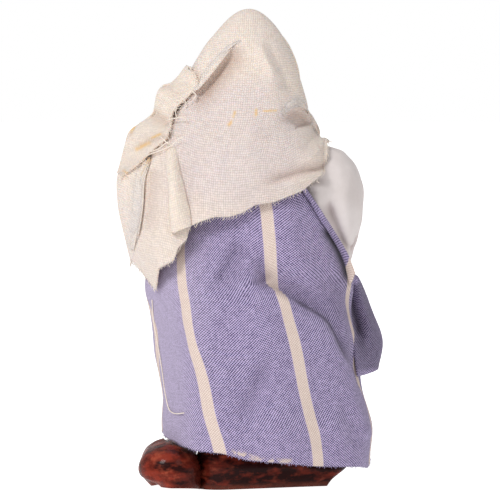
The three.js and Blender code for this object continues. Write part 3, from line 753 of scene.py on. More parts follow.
def flap_place(u, v):
    """The lifted end, along from the right and up from its lower edge."""
    turn = lerp(FLAP_OUTLINE[0][0], FLAP_OUTLINE[-1][0], u)
    out, hem = flap_outline(turn)
    fall = np.maximum(1 - v, 0)
    more, low = FLAP_HELD_BULGE
    held_up = lerp(*FLAP_HELD_OUT, fall) + more * np.sin(math.pi * fall**low)
    bag = lerp(flap_bag(fall)[0], held_up, step(*FLAP_HELD, turn))
    swags = 0
    for depth, waves, slant, comes, full in FLAP_SWAGS:
        swag = depth * np.sin(waves * math.pi * v - np.radians(slant * turn))
        swags = swags + swag * step(comes, full, turn)
    out = out * bag + (1 - step(*FLAP_SWAGS_END, turn)) * swags
    return skirt_place(turn, lerp(hem, FLAP_TOP, v), out)


HEM_TRIES = 12
HEM_TRY = 0.7  # share of what is still missing that each try moves the hem


def hem_heights(turns, heights, place, line, shown):
    """A hem's heights, moved onto a line of photograph pixels where it shows."""
    line = np.array(line)
    for _ in range(HEM_TRIES):
        pixels = seen(place(turns, heights))
        level = np.interp(pixels[..., 0], line[:, 0], line[:, 1])
        heights = heights + HEM_TRY * shown * (pixels[..., 1] - level) * PHOTO_MM
    return heights


SKIRT_HEM_PIXELS = [
    (162, 435.5), (172, 441), (182, 446), (192, 450), (200, 451.5), (222, 453.5), (235, 457),
    (249, 460.5), (270, 462.5), (291, 464), (310, 466), (340, 467), (367, 467),
]


def crowded_turns(count, crowding=0.3):
    """Turns once round from the front, closer together at the back."""
    rounds = np.linspace(-math.pi, math.pi, count)
    return np.degrees(rounds - crowding * np.sin(rounds))


LEVELS = np.linspace(2, 64, 90)  # the heights at which the stripes are placed
LEVEL_TURNS = np.linspace(-180, 180, 361)
SHOWN_TURN = 88  # the furthest round that a stripe's line is looked for


def stripe_marks():
    """How far round each turn and each stripe stands at each level, in millimetres."""
    places = skirt_place(*np.meshgrid(LEVEL_TURNS, LEVELS))
    around = arc_lengths(places, axis=1)
    around -= around[:, len(LEVEL_TURNS) // 2][:, None]
    pixels = seen(places)
    facing = np.abs(LEVEL_TURNS) < SHOWN_TURN
    marks = []
    for line in STRIPE_PIXELS:
        found = []
        for x, y in line:
            gaps = np.hypot(pixels[:, facing, 0] - x, pixels[:, facing, 1] - y)
            row, column = np.unravel_index(gaps.argmin(), gaps.shape)
            shift = dart_shift(np.array([x, y], float), LEVEL_TURNS[facing][column])
            found.append((LEVELS[row], around[:, facing][row, column] - shift))
        found.sort()
        marks.append(smooth_table(found)(LEVELS)[0])
    marks[0] -= LEFT_STRIPE_BEYOND
    marks[-1] += RIGHT_STRIPE_BEYOND * (1 - step(*RIGHT_STRIPE_LEAVES, LEVELS))
    return around, marks


def dart_shift(pixels, turns):
    """How far the cloth is moved to the right at the pixels: below the dart, and not above it."""
    line = np.array(DART_PIXELS)
    level = np.interp(pixels[..., 0], line[:, 0], line[:, 1])
    soft = lerp(*DART_EDGE, 1 - step(DART_SOFTENS[1], DART_SOFTENS[0], pixels[..., 0]))
    return DART_TAKE * within(DART_REACH, turns) * step(-soft, soft, pixels[..., 1] - level)


def softened(grid, passes):
    """A grid of values without its small bumps."""
    for _ in range(passes):
        for axis in (0, 1):
            ends = [np.take(grid, [0], axis=axis), grid, np.take(grid, [-1], axis=axis)]
            wide = np.concatenate(ends, axis=axis)
            count = grid.shape[axis]
            before = np.take(wide, range(count), axis=axis)
            after = np.take(wide, range(2, count + 2), axis=axis)
            grid = (before + 2 * grid + after) / 4
    return grid


def striped_uv(turns, heights):
    """Cloth coordinates in millimetres, with the stripes at whole multiples of their spacing."""
    around, marks = stripe_marks()
    row = np.interp(heights, LEVELS, np.arange(len(LEVELS)))
    column = turns - LEVEL_TURNS[0]
    i = np.minimum(row.astype(int), len(LEVELS) - 2)
    j = np.minimum(column.astype(int), len(LEVEL_TURNS) - 2)
    a, b = row - i, column - j
    reached = (around[i, j] * (1 - a) + around[i + 1, j] * a) * (1 - b)
    reached += (around[i, j + 1] * (1 - a) + around[i + 1, j + 1] * a) * b
    reached -= dart_shift(seen(skirt_place(turns, heights)), turns)
    lines = [np.interp(heights, LEVELS, mark) for mark in marks]
    across = reached - lines[0] - STRIPE_SPACING
    for number in range(len(lines) - 1):
        share = (reached - lines[number]) / (lines[number + 1] - lines[number])
        across = np.where(share > 0, (number - 1 + share) * STRIPE_SPACING, across)
    beyond = reached - lines[-1]
    across = np.where(beyond > 0, (len(lines) - 2) * STRIPE_SPACING + beyond, across)
    return np.stack([across, heights], axis=-1)


def skirt_grid():
    """The cloth round the body: its points, the shade painted on them, and its cloth coordinates."""
    turns, shares = np.meshgrid(crowded_turns(SKIRT_GRID[0]), np.linspace(0, 1, SKIRT_GRID[1]))
    hem, top = skirt_edges(turns[0])
    shown = within(SKIRT_HEM_SHOWN, turns[0])
    hem = hem_heights(turns[0], hem, skirt_place, SKIRT_HEM_PIXELS, shown)
    heights = lerp(hem, top, shares)
    plain = skirt_place(turns, heights)
    uv = striped_uv(turns, heights)
    normals = grid_normals(plain, closed=True)
    cloth, painted_shade = folded(roughened(plain, normals, SKIRT_BUMPS), normals, SKIRT_FOLDS)
    slack = [arc_lengths(cloth, axis) - arc_lengths(plain, axis) for axis in (1, 0)]
    around, up = (softened(taken, SKIRT_SOFTENED) for taken in slack)
    level = uv[..., 1] + up - WEFT_SLOPE * uv[..., 0]
    return cloth, painted_shade, {"cloth": np.stack([uv[..., 0] + around, level], axis=-1), "stripes": uv}


def flap_grid():
    """The same for the lifted end, whose stripes keep to its cloth coordinates."""
    across, up = np.meshgrid(np.linspace(0, 1, FLAP_GRID[0]), np.linspace(0, 1, FLAP_GRID[1]))
    flap = flap_place(across, up)
    normals = grid_normals(flap, closed=False)
    flap, painted_shade = folded(roughened(flap, normals, FLAP_BUMPS), normals, FLAP_FOLDS)
    reached = arc_lengths(flap, axis=1)
    even = reached.mean(axis=0)
    start = FLAP_CLOTH_START * STRIPE_SPACING
    reached = even + FLAP_SLACK * softened(reached - even, FLAP_SOFTENED) + start
    uv = np.stack([reached, arc_lengths(flap, axis=0)], axis=-1)
    return flap, painted_shade, {"cloth": uv, "stripes": uv}


def make_skirt(material):
    cloth, painted_shade, grid_uvs = skirt_grid()
    faces, places = grid_faces(*cloth.shape[:2], closed=True)
    vertices = cloth[:, :-1].reshape(-1, 3)
    flap, flap_shade, flap_uvs = flap_grid()
    flap_faces, flap_places = grid_faces(*flap.shape[:2], closed=False, first=len(vertices))
    uvs, flap_uvs = at_corners(grid_uvs, places), at_corners(flap_uvs, flap_places)
    uvs = {label: np.vstack([uvs[label], flap_uvs[label]]) for label in uvs}
    faces = np.vstack([faces, flap_faces])
    vertices = np.vstack([vertices, flap.reshape(-1, 3)])
    painted_shade = np.concatenate([painted_shade[:, :-1].ravel(), flap_shade.ravel()])
    # Painted light: the left of the skirt's back is made paler, where the key light falls.
    painted_light = (1 - step(*LIT_LEFT[:2], seen(vertices)[:, 0])) * (1 - step(*LIT_LEFT[2:], vertices[:, 1]))
    marks = {"stain": stained(vertices, SKIRT_STAINS), "painted_shade": painted_shade, "painted_light": painted_light}
    piece = mesh_object("skirt_cloth", vertices, faces.tolist(), uvs, material, marks)
    thicken(piece, SKIRT_CLOTH)
    dress(piece, "skirt")
    skirt_back = Backdrop(cloth, grid_normals(cloth, closed=True), grid_uvs)
    band = make_hem_band(material, skirt_back)
    frays = make_hem_frays("skirt_frays", cloth, SKIRT_FRAY, 53, violet_thread)
    threads = make_threads("skirt_thread", SKIRT_THREADS, skirt_back, cream_thread)
    stitches = make_stitches(skirt_back)
    for part in (frays, threads, stitches):
        dress(part, "skirt")


def make_hem_band(material, skirt_back):
    """The turned-in and stitched edge that stands proud along the skirt's upper right edge."""
    _, over, pixels, places = strip(skirt_back, BAND_LEFT, BAND_RIGHT, BAND_GRID)
    depth = places[..., 1].min(axis=1, keepdims=True) + BAND_LEAN * over
    grid = unseen(pixels, depth - BAND_RISE - BAND_CROWN * np.sin(math.pi * over))[::-1]
    from_tip = arc_lengths(grid, axis=0)
    cream = 0.5 * STRIPE_WIDTH * from_tip / BAND_CREAM_TIP
    across = np.where(from_tip < BAND_CREAM_TIP, cream, STRIPE_SPACING / 2)
    stripes = np.stack([across, arc_lengths(grid, axis=1)], axis=-1)
    piece = cloth_grid("skirt_hem_band", grid, material, BAND_CLOTH, stripes)
    dress(piece, "skirt")
    return piece


def make_stitches(skirt_back):
    """The row of short stitches down the middle of the band."""
    down = np.linspace(*STITCHED, STITCH_LINE_POINTS)
    middle = lerp(spread(BAND_LEFT, down), spread(BAND_RIGHT, down), STITCHES_ACROSS)
    seam, _ = skirt_back.at(middle, STITCHES_RISE)
    return make_frays("skirt_stitches", seam, np.gradient(seam, axis=0), STITCHES, 54, cream_thread)


# Loose and frayed threads, grown along lines

THREAD = 0.055  # radius of a frayed thread
LOOSE_THREAD = 2.5  # times as thick
THREAD_SIDES = 4
STRAND_KNEE = (0.3, 0.0, 0.55)  # where a frayed thread bends and where it ends, in shares of its length
STRAND_TIP = (-0.1, 0.2, 1.0)
STRAND_PARTS = 4
LINE_DETAIL = 12  # points on a loose thread for each that is given
FRAY_SIZES = (0.35, 1.3)  # the least and the most of its length that a frayed thread has
VEIL_FRAY = (0.45, 0.75, 0.5)  # spacing, length and sprawl
SCARF_FRAY = (0.26, 0.9, 0.9)
SKIRT_FRAY = (0.4, 0.3, 0.6)
STITCHES = (0.95, 0.55, 0.0)
SCARF_THREADS = [  # pixels, and how far each end stands off
    [(169, 119.5, 2.6), (174, 118.5, 2.8), (180, 117.5, 2.4), (186, 117, 2.6)],
    [(177, 107, 2.6), (175.5, 112, 2.4), (176.5, 117, 2.0)],
    [(174, 109, 2.8), (171, 115, 2.6), (169.5, 119, 2.6)],
    [(158, 135, 2.2), (163, 139, 2.0), (168, 144, 1.6)],
    [
        (146, 156, 1.4), (153, 153, 1.6), (162, 150, 1.2),
        (172, 145, 1.2), (178, 139, 1.6), (183, 137.5, 2.0),
    ],
    [(150, 152, 1.6), (158, 149, 1.6), (166, 143, 1.7), (170, 142, 1.4)],
    [(184, 99.5, 2.0), (186, 103, 1.6), (184.5, 106, 1.2)],
    [(193, 92, 1.6), (196, 95, 1.2), (194, 99, 0.9)],
]
SKIRT_THREADS = [
    [
        (152, 300, 0.5), (153.5, 318, 0.4), (158, 345, 0.35), (162, 370, 0.4),
        (165, 392, 0.35), (169, 409, 0.5), (175, 413.5, 0.5), (184, 413, 0.7),
    ],
]


def shape_tree(name, inputs):
    """An empty tree of geometry nodes with named inputs: its graph, its inputs and its output."""
    tree = bpy.data.node_groups.new(name, "GeometryNodeTree")
    kinds = {"shape": "Geometry", "value": "Float", "count": "Int", "material": "Material"}
    for label, kind in inputs.items():
        tree.interface.new_socket(label, in_out="INPUT", socket_type="NodeSocket" + kinds[kind])
    tree.interface.new_socket("Shape", in_out="OUTPUT", socket_type="NodeSocketGeometry")
    graph = Graph(tree)
    return graph, tree.nodes.new("NodeGroupInput").outputs, tree.nodes.new("NodeGroupOutput").inputs


def strand(graph, entry):
    """One short bent thread, standing up from its root."""
    knee, tip = (
        graph.add("CombineXYZ", *[graph.product(entry["Length"], share) for share in place]).outputs[0]
        for place in (STRAND_KNEE, STRAND_TIP)
    )
    line = graph.add("GeometryNodeCurveQuadraticBezier", STRAND_PARTS, (0, 0, 0), knee, tip)
    return round_tube(graph, line.outputs[0], entry["Radius"])


def round_tube(graph, line, radius):
    ring = graph.add("GeometryNodeCurvePrimitiveCircle", Resolution=THREAD_SIDES, Radius=radius)
    tube = graph.add("GeometryNodeCurveToMesh", Curve=line, Profile_Curve=ring.outputs[0], Fill_Caps=True)
    return tube.outputs[0]


def finish_shape(graph, entry, leave, shape):
    """Makes a shape real, gives it its material and lets it out of the tree."""
    plain = graph.add("GeometryNodeRealizeInstances", shape).outputs[0]
    made = graph.add("GeometryNodeSetMaterial", Geometry=plain, Material=entry["Material"])
    graph.feed(leave[0], made.outputs[0])
    return graph.tree


def make_fray_tree():
    """Short threads all along a line, each turned at random from the way its point faces."""
    inputs = {"Line": "shape", "Spacing": "value", "Length": "value", "Radius": "value",
              "Sprawl": "value", "Seed": "count", "Material": "material"}
    graph, entry, leave = shape_tree("Frayed edge", inputs)
    line = graph.add("GeometryNodeMeshToCurve", entry["Line"]).outputs[0]
    points = graph.add("GeometryNodeResampleCurve", Curve=line, Length=entry["Spacing"], mode="LENGTH")
    facing = graph.add("GeometryNodeInputNamedAttribute", Name="facing", data_type="FLOAT_VECTOR")
    upright = graph.add("FunctionNodeAlignRotationToVector", Vector=facing.outputs[0], axis="Z").outputs[0]
    sprawl = entry["Sprawl"]
    back = graph.product(sprawl, -1.0)
    tilt = graph.add("FunctionNodeRandomValue", data_type="FLOAT_VECTOR")
    graph.feed(tilt.inputs[0], graph.add("CombineXYZ", back, back, -math.pi).outputs[0])
    graph.feed(tilt.inputs[1], graph.add("CombineXYZ", sprawl, sprawl, math.pi).outputs[0])
    graph.feed(tilt.inputs["Seed"], entry["Seed"])
    turn = graph.add("FunctionNodeRotateRotation", upright, tilt.outputs[0], rotation_space="LOCAL")
    size = graph.add("FunctionNodeRandomValue", data_type="FLOAT")
    graph.feed(size.inputs[2], FRAY_SIZES[0])
    graph.feed(size.inputs[3], FRAY_SIZES[1])
    graph.feed(size.inputs["Seed"], graph.total(entry["Seed"], 1.0))
    threads = graph.add(
        "GeometryNodeInstanceOnPoints", Points=points.outputs[0], Instance=strand(graph, entry),
        Rotation=turn.outputs[0], Scale=size.outputs[1],
    )
    return finish_shape(graph, entry, leave, threads.outputs[0])


def make_thread_tree():
    """A round thread along each line."""
    graph, entry, leave = shape_tree("Thread", {"Line": "shape", "Radius": "value", "Material": "material"})
    line = graph.add("GeometryNodeMeshToCurve", entry["Line"]).outputs[0]
    return finish_shape(graph, entry, leave, round_tube(graph, line, entry["Radius"]))


def grown(name, lines, tree, facing=None, **values):
    """The plain mesh that a tree of geometry nodes makes along lines of places."""
    mesh = bpy.data.meshes.new(name)
    starts = np.cumsum([0] + [len(line) for line in lines])
    edges = []
    for start, line in zip(starts, lines):
        edges += [(k, k + 1) for k in range(start, start + len(line) - 1)]
    mesh.from_pydata(stand(np.vstack(lines)).tolist(), edges, [])
    if facing is not None:
        attribute = mesh.attributes.new("facing", "FLOAT_VECTOR", "POINT")
        attribute.data.foreach_set("vector", turned(unit(facing)).astype(np.float32).ravel())
    piece = bpy.data.objects.new(name, mesh)
    bpy.context.scene.collection.objects.link(piece)
    growth = piece.modifiers.new("growth", "NODES")
    growth.node_group = tree
    for item in tree.interface.items_tree:
        label = item.name.lower()
        if label in values:
            growth[item.identifier] = values[label]
    bpy.context.view_layer.update()
    evaluated = piece.evaluated_get(bpy.context.evaluated_depsgraph_get())
    made = bpy.data.meshes.new_from_object(evaluated)
    piece.modifiers.clear()
    piece.data = made
    outward(piece)
    return piece


def make_frays(name, line, facing, fray, seed, thread):
    spacing, length, sprawl = fray
    return grown(name, [line], FRAY_TREE, facing, spacing=spacing * METRES, length=length * METRES,
                 radius=THREAD * METRES, sprawl=sprawl, seed=seed, material=thread)


def make_hem_frays(name, cloth, fray, seed, thread):
    """Frayed threads all round the lower edge of a closed cloth."""
    edge, above = cloth[0, :-1:2], cloth[4, :-1:2]
    return make_frays(name, edge, edge - above, fray, seed, thread)


def make_threads(name, lines, backdrop, thread):
    """Loose threads that lie on, or stand off, what is behind them."""
    places = []
    for line in lines:
        smooth = curve_through(line, LINE_DETAIL * len(line))
        places.append(backdrop.at(smooth[:, :2], smooth[:, 2])[0])
    return grown(name, places, THREAD_TREE, radius=LOOSE_THREAD * THREAD * METRES, material=thread)


# Veil

veil_outline = smooth_table([(math.sqrt(drop), *row) for drop, *row in VEIL_OUTLINE])
veil_hem = round_table(VEIL_HEM)
SHOULDER_DROP = 20.0  # below the crown, from where the hem shapes the rows
VEIL_MEAN_RADIUS = 17.0  # that its threads keep to beyond the sides
VEIL_EVENED = (60, 95)  # the turns between which they come to keep to it
CROWN_SHARE = 0.46  # of the rows, that lie above it
VEIL_GRID = (264, 152)  # columns round it and rows up it
VEIL_CROWDING = 0.42
VEIL_BUMPS = [(0.22, 8.0, 11), (0.08, 3.0, 12)]
VEIL_BUMPS_COME = (1, 8)  # the drops between which they do
VEIL_HEM_SHOWN = (-93, -84, 62, 70)  # the turns between which its hem keeps to the photograph's
VEIL_CLEARANCE = VEIL_CLOTH + 0.4  # from the arms that it rests on

VEIL_LAID_FOLDS = [  # start line, free edge, rise and how much of each end fades
    (
        [(238, 40), (221, 50), (205, 67), (194, 82), (186, 92)],
        [(241, 41), (231, 48), (219, 63), (207.5, 78), (197, 90)],
        1.5, (0.45, 0),
    ),
    (
        [(277, 108), (287, 99), (296, 95), (302, 97), (305, 102)],
        [(281, 115), (288, 110), (296, 106), (302, 107.5), (306.5, 112)],
        0.7, (0.45, 0.2),
    ),
    (
        [(143, 150), (133, 172), (129, 200), (127, 228), (127, 246)],
        [(151, 156), (144, 178), (142, 205), (138, 232), (134, 250)],
        0.95, (0.1, 0.25),
    ),
]
VEIL_STAINS = [
    (235, 112, 233.5, 117, 1.3),
    (231, 122, 229, 125, 1.6),
    (256, 110, 256, 115, 1.5),
    (263, 111, 276, 110.5, 1.0),
    (150, 160, 142, 175, 1.2),
]
WHITER_BACK = (236, 152)  # the pixel round which the veil is less yellow
WHITER_REACH = (48, 92)  # pixels from it within which the colour changes
HOOD_WARMTH = 0.6  # of the scarf's full warmth
BACK_DEPTH = 6  # up to which the veil counts as its back


def warmed(vertices):
    """How yellow the veil is at each vertex."""
    away = np.linalg.norm(seen(vertices) - WHITER_BACK, axis=1)
    return np.where(vertices[:, 1] < BACK_DEPTH, HOOD_WARMTH * step(*WHITER_REACH, away), 1)


# Where a fold is given a shade value, that is painted shade, as beside the hood's lap and under the hem
# crease. Folds with no rise are painted shade alone.
VEIL_FOLDS = [
    Fold([(246, 42), (236, 51), (222, 68), (211, 82), (200, 94)], -1.3, 2.6, 1.2, ends=(0.4, 0), painted_shade=0.5),
    Fold([(228, 62), (219, 73), (209, 87), (203, 97)], 0, 1.8, 1.0, ends=(0.3, 0.1), painted_shade=0.55),
    Fold([(258, 38), (265, 56), (272, 70), (283, 86)], 1.3, 1.2, 1.4, ends=(0.3, 0.3)),
    Fold([(264, 30), (276, 58), (286, 80), (294, 98)], -1.2, 1.3, 1.5, ends=(0.3, 0.4)),
    Fold(
        [(282, 126), (289, 117), (297, 113), (304, 117), (308, 126)],
        -1.7, 1.0, 3.4, ends=(0.4, 0.1), painted_shade=0.35,
    ),
    Fold([(300, 168), (312, 158), (320, 148), (326, 141)], 1.0, 1.2, 1.4, ends=(0.4, 0)),
    Fold([(318, 128), (313, 138), (300, 152)], -0.8, 1.6, 1.2, ends=(0, 0.4)),
    Fold(
        [(333, 164), (316, 169), (296, 174), (275, 181), (252, 189)],
        -1.1, 0.6, 1.4, ends=(0, 0.4), painted_shade=0.3,
    ),
    Fold([(333, 170), (316, 177), (296, 183), (272, 192)], 0.6, 1.0, 1.2, ends=(0, 0.4)),
    Fold([(230, 95), (222, 120), (214, 160)], -0.4, 3.0, 2.0, ends=(0.3, 0.4)),
    Fold([(262, 112), (250, 150), (252, 190)], 0.4, 4.0, 4.0, ends=(0.3, 0.3)),
    Fold([(150, 156), (143, 172), (136, 188)], -1.1, 0.6, 0.9, ends=(0, 0.4), painted_shade=0.3),
    Fold([(152, 166), (149, 200), (145, 240)], -0.9, 2.4, 0.8, ends=(0.1, 0.3), painted_shade=0.2),
    Fold([(124, 176), (126, 210), (128, 246)], 0.5, 1.2, 1.2, ends=(0.1, 0.2)),
]

LOWER_VEIL = (14, 30, 98, 99)  # the drops between which a form comes, and none where it goes
VEIL_FORMS = [  # height, turn and reach, and the drops between which it comes and goes
    (0.5, -92, 14, LOWER_VEIL),  # the strip at the left
    (-0.9, -66, 9, LOWER_VEIL),  # the panel beside it
    (0.5, -42, 9, LOWER_VEIL),  # the rolled fold
    (-0.5, -28, 8, LOWER_VEIL),  # the groove beside that
    (0.9, -62, 22, (3, 10, 17, 24)),  # the lap beside the face
    (0.7, 30, 12, (5, 12, 20, 26)),  # the ridge on the head
]
VEIL_CREASE = (-1.0, 58, 20, 24.5, 2.5)  # height, turn and reach, drop and reach
VEIL_BAND = (0.5, 40, 30, 34, 5)
SWAG_HEIGHT = 0.75  # of the folds that swing under the chin
SWAG_SPACING = 5.6
SWAG_DROP = 26  # of the first one, where it hangs lowest
SWAG_LOWEST = -24  # the turn from the face at which they do
SWAG_CLIMB = 0.0022  # how fast they climb to either side of it
SWAGS_BELOW = (-3, 3, 15, 22)  # below the first, where they come and go
SWAGS_MIDDLE = -16  # the turn from the face that they lie round
SWAGS_END = (62, 96)  # the turns from there between which they go
HANGING_HEIGHT = 0.4  # of the folds that hang at the sides
HANGING_COUNT = 11  # that would go round her
HANGING_SLANT = 0.25
HANGING_COMES = (24, 32)  # the drops between which they come
HANGING_START = (88, 100)  # and the turns
FACE_CLEAR = 70  # the turn from the face within which few of them show
FRONT_START = 84  # the turn from which these folds are made


def front_folds(turn, drop):
    """Folds that swing under the chin, up to the left shoulder, and a few that hang at the sides."""
    from_face = (turn + 180 + FACING + 180) % 360 - 180
    sag = drop - SWAG_DROP + SWAG_CLIMB * (from_face - SWAG_LOWEST) ** 2
    swags = SWAG_HEIGHT * np.sin(2 * math.pi * sag / SWAG_SPACING) * within(SWAGS_BELOW, sag)
    swags *= 1 - step(*SWAGS_END, np.abs(from_face - SWAGS_MIDDLE))
    hanging = HANGING_HEIGHT * np.sin(np.radians(HANGING_COUNT * turn) + HANGING_SLANT * drop)
    hanging *= step(*HANGING_COMES, drop) * step(*HANGING_START, np.abs(turn))
    hanging *= 1 - bell(from_face, FACE_CLEAR)
    return np.where(np.abs(turn) > FRONT_START, swags + hanging, 0)


def veil_relief(turn, drop):
    """How far its broad forms and the folds in front stand out."""
    relief = front_folds(turn, drop)
    for height, middle, reach, drops in VEIL_FORMS:
        relief = relief + height * within(drops, drop) * bell(turn - middle, reach)
    for height, middle, reach, level, depth in (VEIL_CREASE, VEIL_BAND):
        relief = relief + height * bell(drop - level, depth) * bell(turn - middle, reach)
    return relief


LEAST_DROP = 0.02  # which keeps the crown's rows apart


def veil_place(turn, drop):
    x, y, left, right, back, front = veil_outline(np.sqrt(np.maximum(drop, LEAST_DROP)))
    reach = oval_reach(turn, left, right, back, front) + veil_relief(turn, drop)
    return round_place(turn, x, y, reach, FIGURE_HEIGHT - drop)


def veil_at_height(turn, height):
    return veil_place(turn, FIGURE_HEIGHT - height)


VEIL_HEM_PIXELS = [
    (122, 251), (134, 263), (146, 278), (155.5, 290), (158.5, 269), (165, 265),
    (173, 261), (178, 248), (186, 240), (190, 226), (200, 221.5), (214, 217),
    (229, 217), (243, 212.5), (255, 205), (275, 202), (302, 191), (331, 166),
]
FACE_AHEAD = 2  # how far in front of the head's middle the opening is cut
FACE_RING_POINTS = 160
FACE_RING_PASSES = 4  # that smooth it
FACE_HEM_AHEAD = 0.1  # how far in front of the veil's own edge it lies
FACE_HEM_SIDES = 16


def towards_face():
    """The way that she looks, and the way to her right."""
    angle = math.radians(FACING)
    ahead = np.array([math.sin(angle), math.cos(angle), 0])
    return ahead, np.array([ahead[1], -ahead[0], 0])


def smoothed_ring(points):
    """A closed ring of evenly spaced points through many uneven ones."""
    ring = np.vstack([points, points[:1]])
    places = np.concatenate([[0], np.cumsum(np.linalg.norm(np.diff(ring, axis=0), axis=1))])
    even = np.linspace(0, places[-1], FACE_RING_POINTS, endpoint=False)
    ring = np.stack([np.interp(even, places, ring[:, k]) for k in range(3)], axis=-1)
    for _ in range(FACE_RING_PASSES):
        ring = (np.roll(ring, 1, axis=0) + 2 * ring + np.roll(ring, -1, axis=0)) / 4
    return ring


def make_face_hem(material, ring):
    """The narrow rolled hem round the face."""
    ahead, _ = towards_face()
    along = unit(np.roll(ring, -1, axis=0) - np.roll(ring, 1, axis=0))
    out = unit(ring - ring.mean(axis=0))
    over = unit(np.cross(along, out))
    turns = np.linspace(0, 2 * math.pi, FACE_HEM_SIDES + 1)
    section = np.cos(turns)[None, :, None] * out[:, None] * FACE_HEM[0]
    section = section + np.sin(turns)[None, :, None] * over[:, None] * FACE_HEM[1]
    grid = ring[:, None] + section + FACE_HEM_AHEAD * ahead
    grid = np.concatenate([grid, grid[:1]])
    faces, places = grid_faces(*grid.shape[:2], closed=True)
    vertices = grid[:, :-1].reshape(-1, 3)
    uv = np.stack([arc_lengths(grid, axis=1), arc_lengths(grid, axis=0)], axis=-1)
    uvs = at_corners({"cloth": uv}, places)
    clean = np.zeros(len(vertices))
    marks = {"warm": clean + 1, "stain": clean, "painted_shade": clean}
    piece = mesh_object("veil_face_hem", vertices, faces.tolist(), uvs, material, marks)
    tidy_mesh(piece)
    outward(piece)
    dress(piece, "veil")
    return piece


def cut_face_hole(vertices, faces):
    """Faces kept round the face, whose inner corners move onto the oval opening, and its rim."""
    ahead, aside = towards_face()
    centre = np.array([HEAD_CENTRE[0], HEAD_CENTRE[1], FIGURE_HEIGHT - FACE_DROP])
    from_centre = vertices - centre
    in_front = from_centre @ ahead > FACE_AHEAD
    place = np.stack([from_centre @ aside / FACE_OPENING[0], from_centre[:, 2] / FACE_OPENING[1]], axis=-1)
    reach = np.linalg.norm(place, axis=-1)
    inside = in_front & (reach < 1)
    kept = ~inside[faces].all(axis=1)
    rim = np.unique(faces[kept][inside[faces[kept]]])
    wanted = place[rim] / reach[rim][:, None] * FACE_OPENING
    moved = wanted - place[rim] * FACE_OPENING
    vertices[rim] += moved[:, :1] * aside + moved[:, 1:] * np.array([0, 0, 1.0])
    order = np.argsort(np.arctan2(wanted[:, 1], wanted[:, 0]))
    return kept, smoothed_ring(vertices[rim][order])


def veil_uv(cloth, turns):
    """Its cloth coordinates, evened out beyond the sides."""
    steps = np.linalg.norm(np.diff(cloth, axis=1), axis=-1)
    even = np.radians(np.diff(turns, axis=1)) * VEIL_MEAN_RADIUS
    steps = lerp(steps, even, step(*VEIL_EVENED, np.abs(turns[:, 1:])))
    around = np.concatenate([0 * steps[:, :1], np.cumsum(steps, axis=1)], axis=1)
    around -= around[:, around.shape[1] // 2][:, None]
    along = arc_lengths(cloth, axis=0)
    return np.stack([around, along - along[-1]], axis=-1)


def veil_grid():
    """The veil before its laid folds: its points, the shade painted on them, and its cloth coordinates."""
    turns = crowded_turns(VEIL_GRID[0], VEIL_CROWDING)
    turns, shares = np.meshgrid(turns, np.linspace(0, 1, VEIL_GRID[1]))
    hem = veil_hem(turns[0])[0]
    shown = within(VEIL_HEM_SHOWN, turns[0])
    hem = hem_heights(turns[0], hem, veil_at_height, VEIL_HEM_PIXELS, shown)
    upper = SHOULDER_DROP * ((1 - shares) / CROWN_SHARE) ** 2
    lower = lerp(FIGURE_HEIGHT - hem, SHOULDER_DROP, shares / (1 - CROWN_SHARE))
    drops = np.where(1 - shares < CROWN_SHARE, upper, lower)
    plain = veil_place(turns, drops)
    for limb, radii in ((RIGHT_ARM, RIGHT_ARM_RADII), (LEFT_ARM, LEFT_ARM_RADII)):
        plain = rest_on(plain, limb, radii, VEIL_CLEARANCE)
    normals = grid_normals(plain, closed=True)
    soft = roughened(plain, normals, VEIL_BUMPS, step(*VEIL_BUMPS_COME, drops))
    cloth, painted_shade = folded(soft, normals, VEIL_FOLDS)
    cloth[-1] = cloth[-1].mean(axis=0)
    return cloth, painted_shade, veil_uv(cloth, turns)


def make_veil(material):
    cloth, painted_shade, uv = veil_grid()
    faces, places = grid_faces(*cloth.shape[:2], closed=True)
    vertices = cloth[:, :-1].reshape(-1, 3).copy()
    kept, rim = cut_face_hole(vertices, faces)
    uvs = at_corners({"cloth": uv}, places[kept])
    faces = faces[kept]
    veil_back = Backdrop(cloth, grid_normals(cloth, closed=True), {"cloth": uv})
    painted_shade = painted_shade[:, :-1].ravel()
    for start, edge, rise, ends in VEIL_LAID_FOLDS:
        grid, grid_uvs = laid_fold(veil_back, start, edge, rise, ends)
        vertices, faces, uvs = joined_grid(vertices, faces, uvs, grid, grid_uvs)
        painted_shade = np.concatenate([painted_shade, np.zeros(grid[..., 0].size)])
    marks = {"stain": stained(vertices, VEIL_STAINS), "warm": warmed(vertices), "painted_shade": painted_shade}
    piece = mesh_object("veil_cloth", vertices, faces.tolist(), uvs, material, marks)
    tidy_mesh(piece)
    thicken(piece, VEIL_CLOTH)
    dress(piece, "veil")
    face_hem = make_face_hem(material, rim)
    frays = make_hem_frays("veil_frays", cloth, VEIL_FRAY, 51, cream_thread)
    dress(frays, "veil")
    return veil_back


# The end of the veil, thrown over the left shoulder

SCARF_CHEST = [(4, 15.6, 78.6), (-2.5, 18.6, 70), (-11, 20.6, 60)]
SCARF_LINES = [  # pixels and depth of the crest on the shoulder, then pixels of the cut edge and its lift
    (188, 66, 4.4, 191, 69, 1.6),
    (184, 69, 4.0, 195.5, 78.5, 1.5),
    (178.5, 75.5, 3.6, 198, 86.5, 0.9),
    (171, 82, 3.4, 191, 92, 1.3),
    (163, 84.5, 3.2, 184, 99.5, 1.8),
    (157.5, 91, 3, 176.5, 107, 2.4),
    (155, 101, 3, 172, 114, 2.7),
    (153, 112, 2.9, 170, 122, 2.6),
    (146, 119, 2.8, 169.8, 130, 1.8),
    (136, 125.5, 2.6, 166, 138.5, 1.5),
    (129, 132, 2.6, 156, 147, 1.3),
    (125.5, 143, 2.7, 146, 156, 1.2),
    (122.5, 157, 3, 134, 165.5, 1.2),
    (119.5, 173, 3.4, 121, 175, 1.0),
]
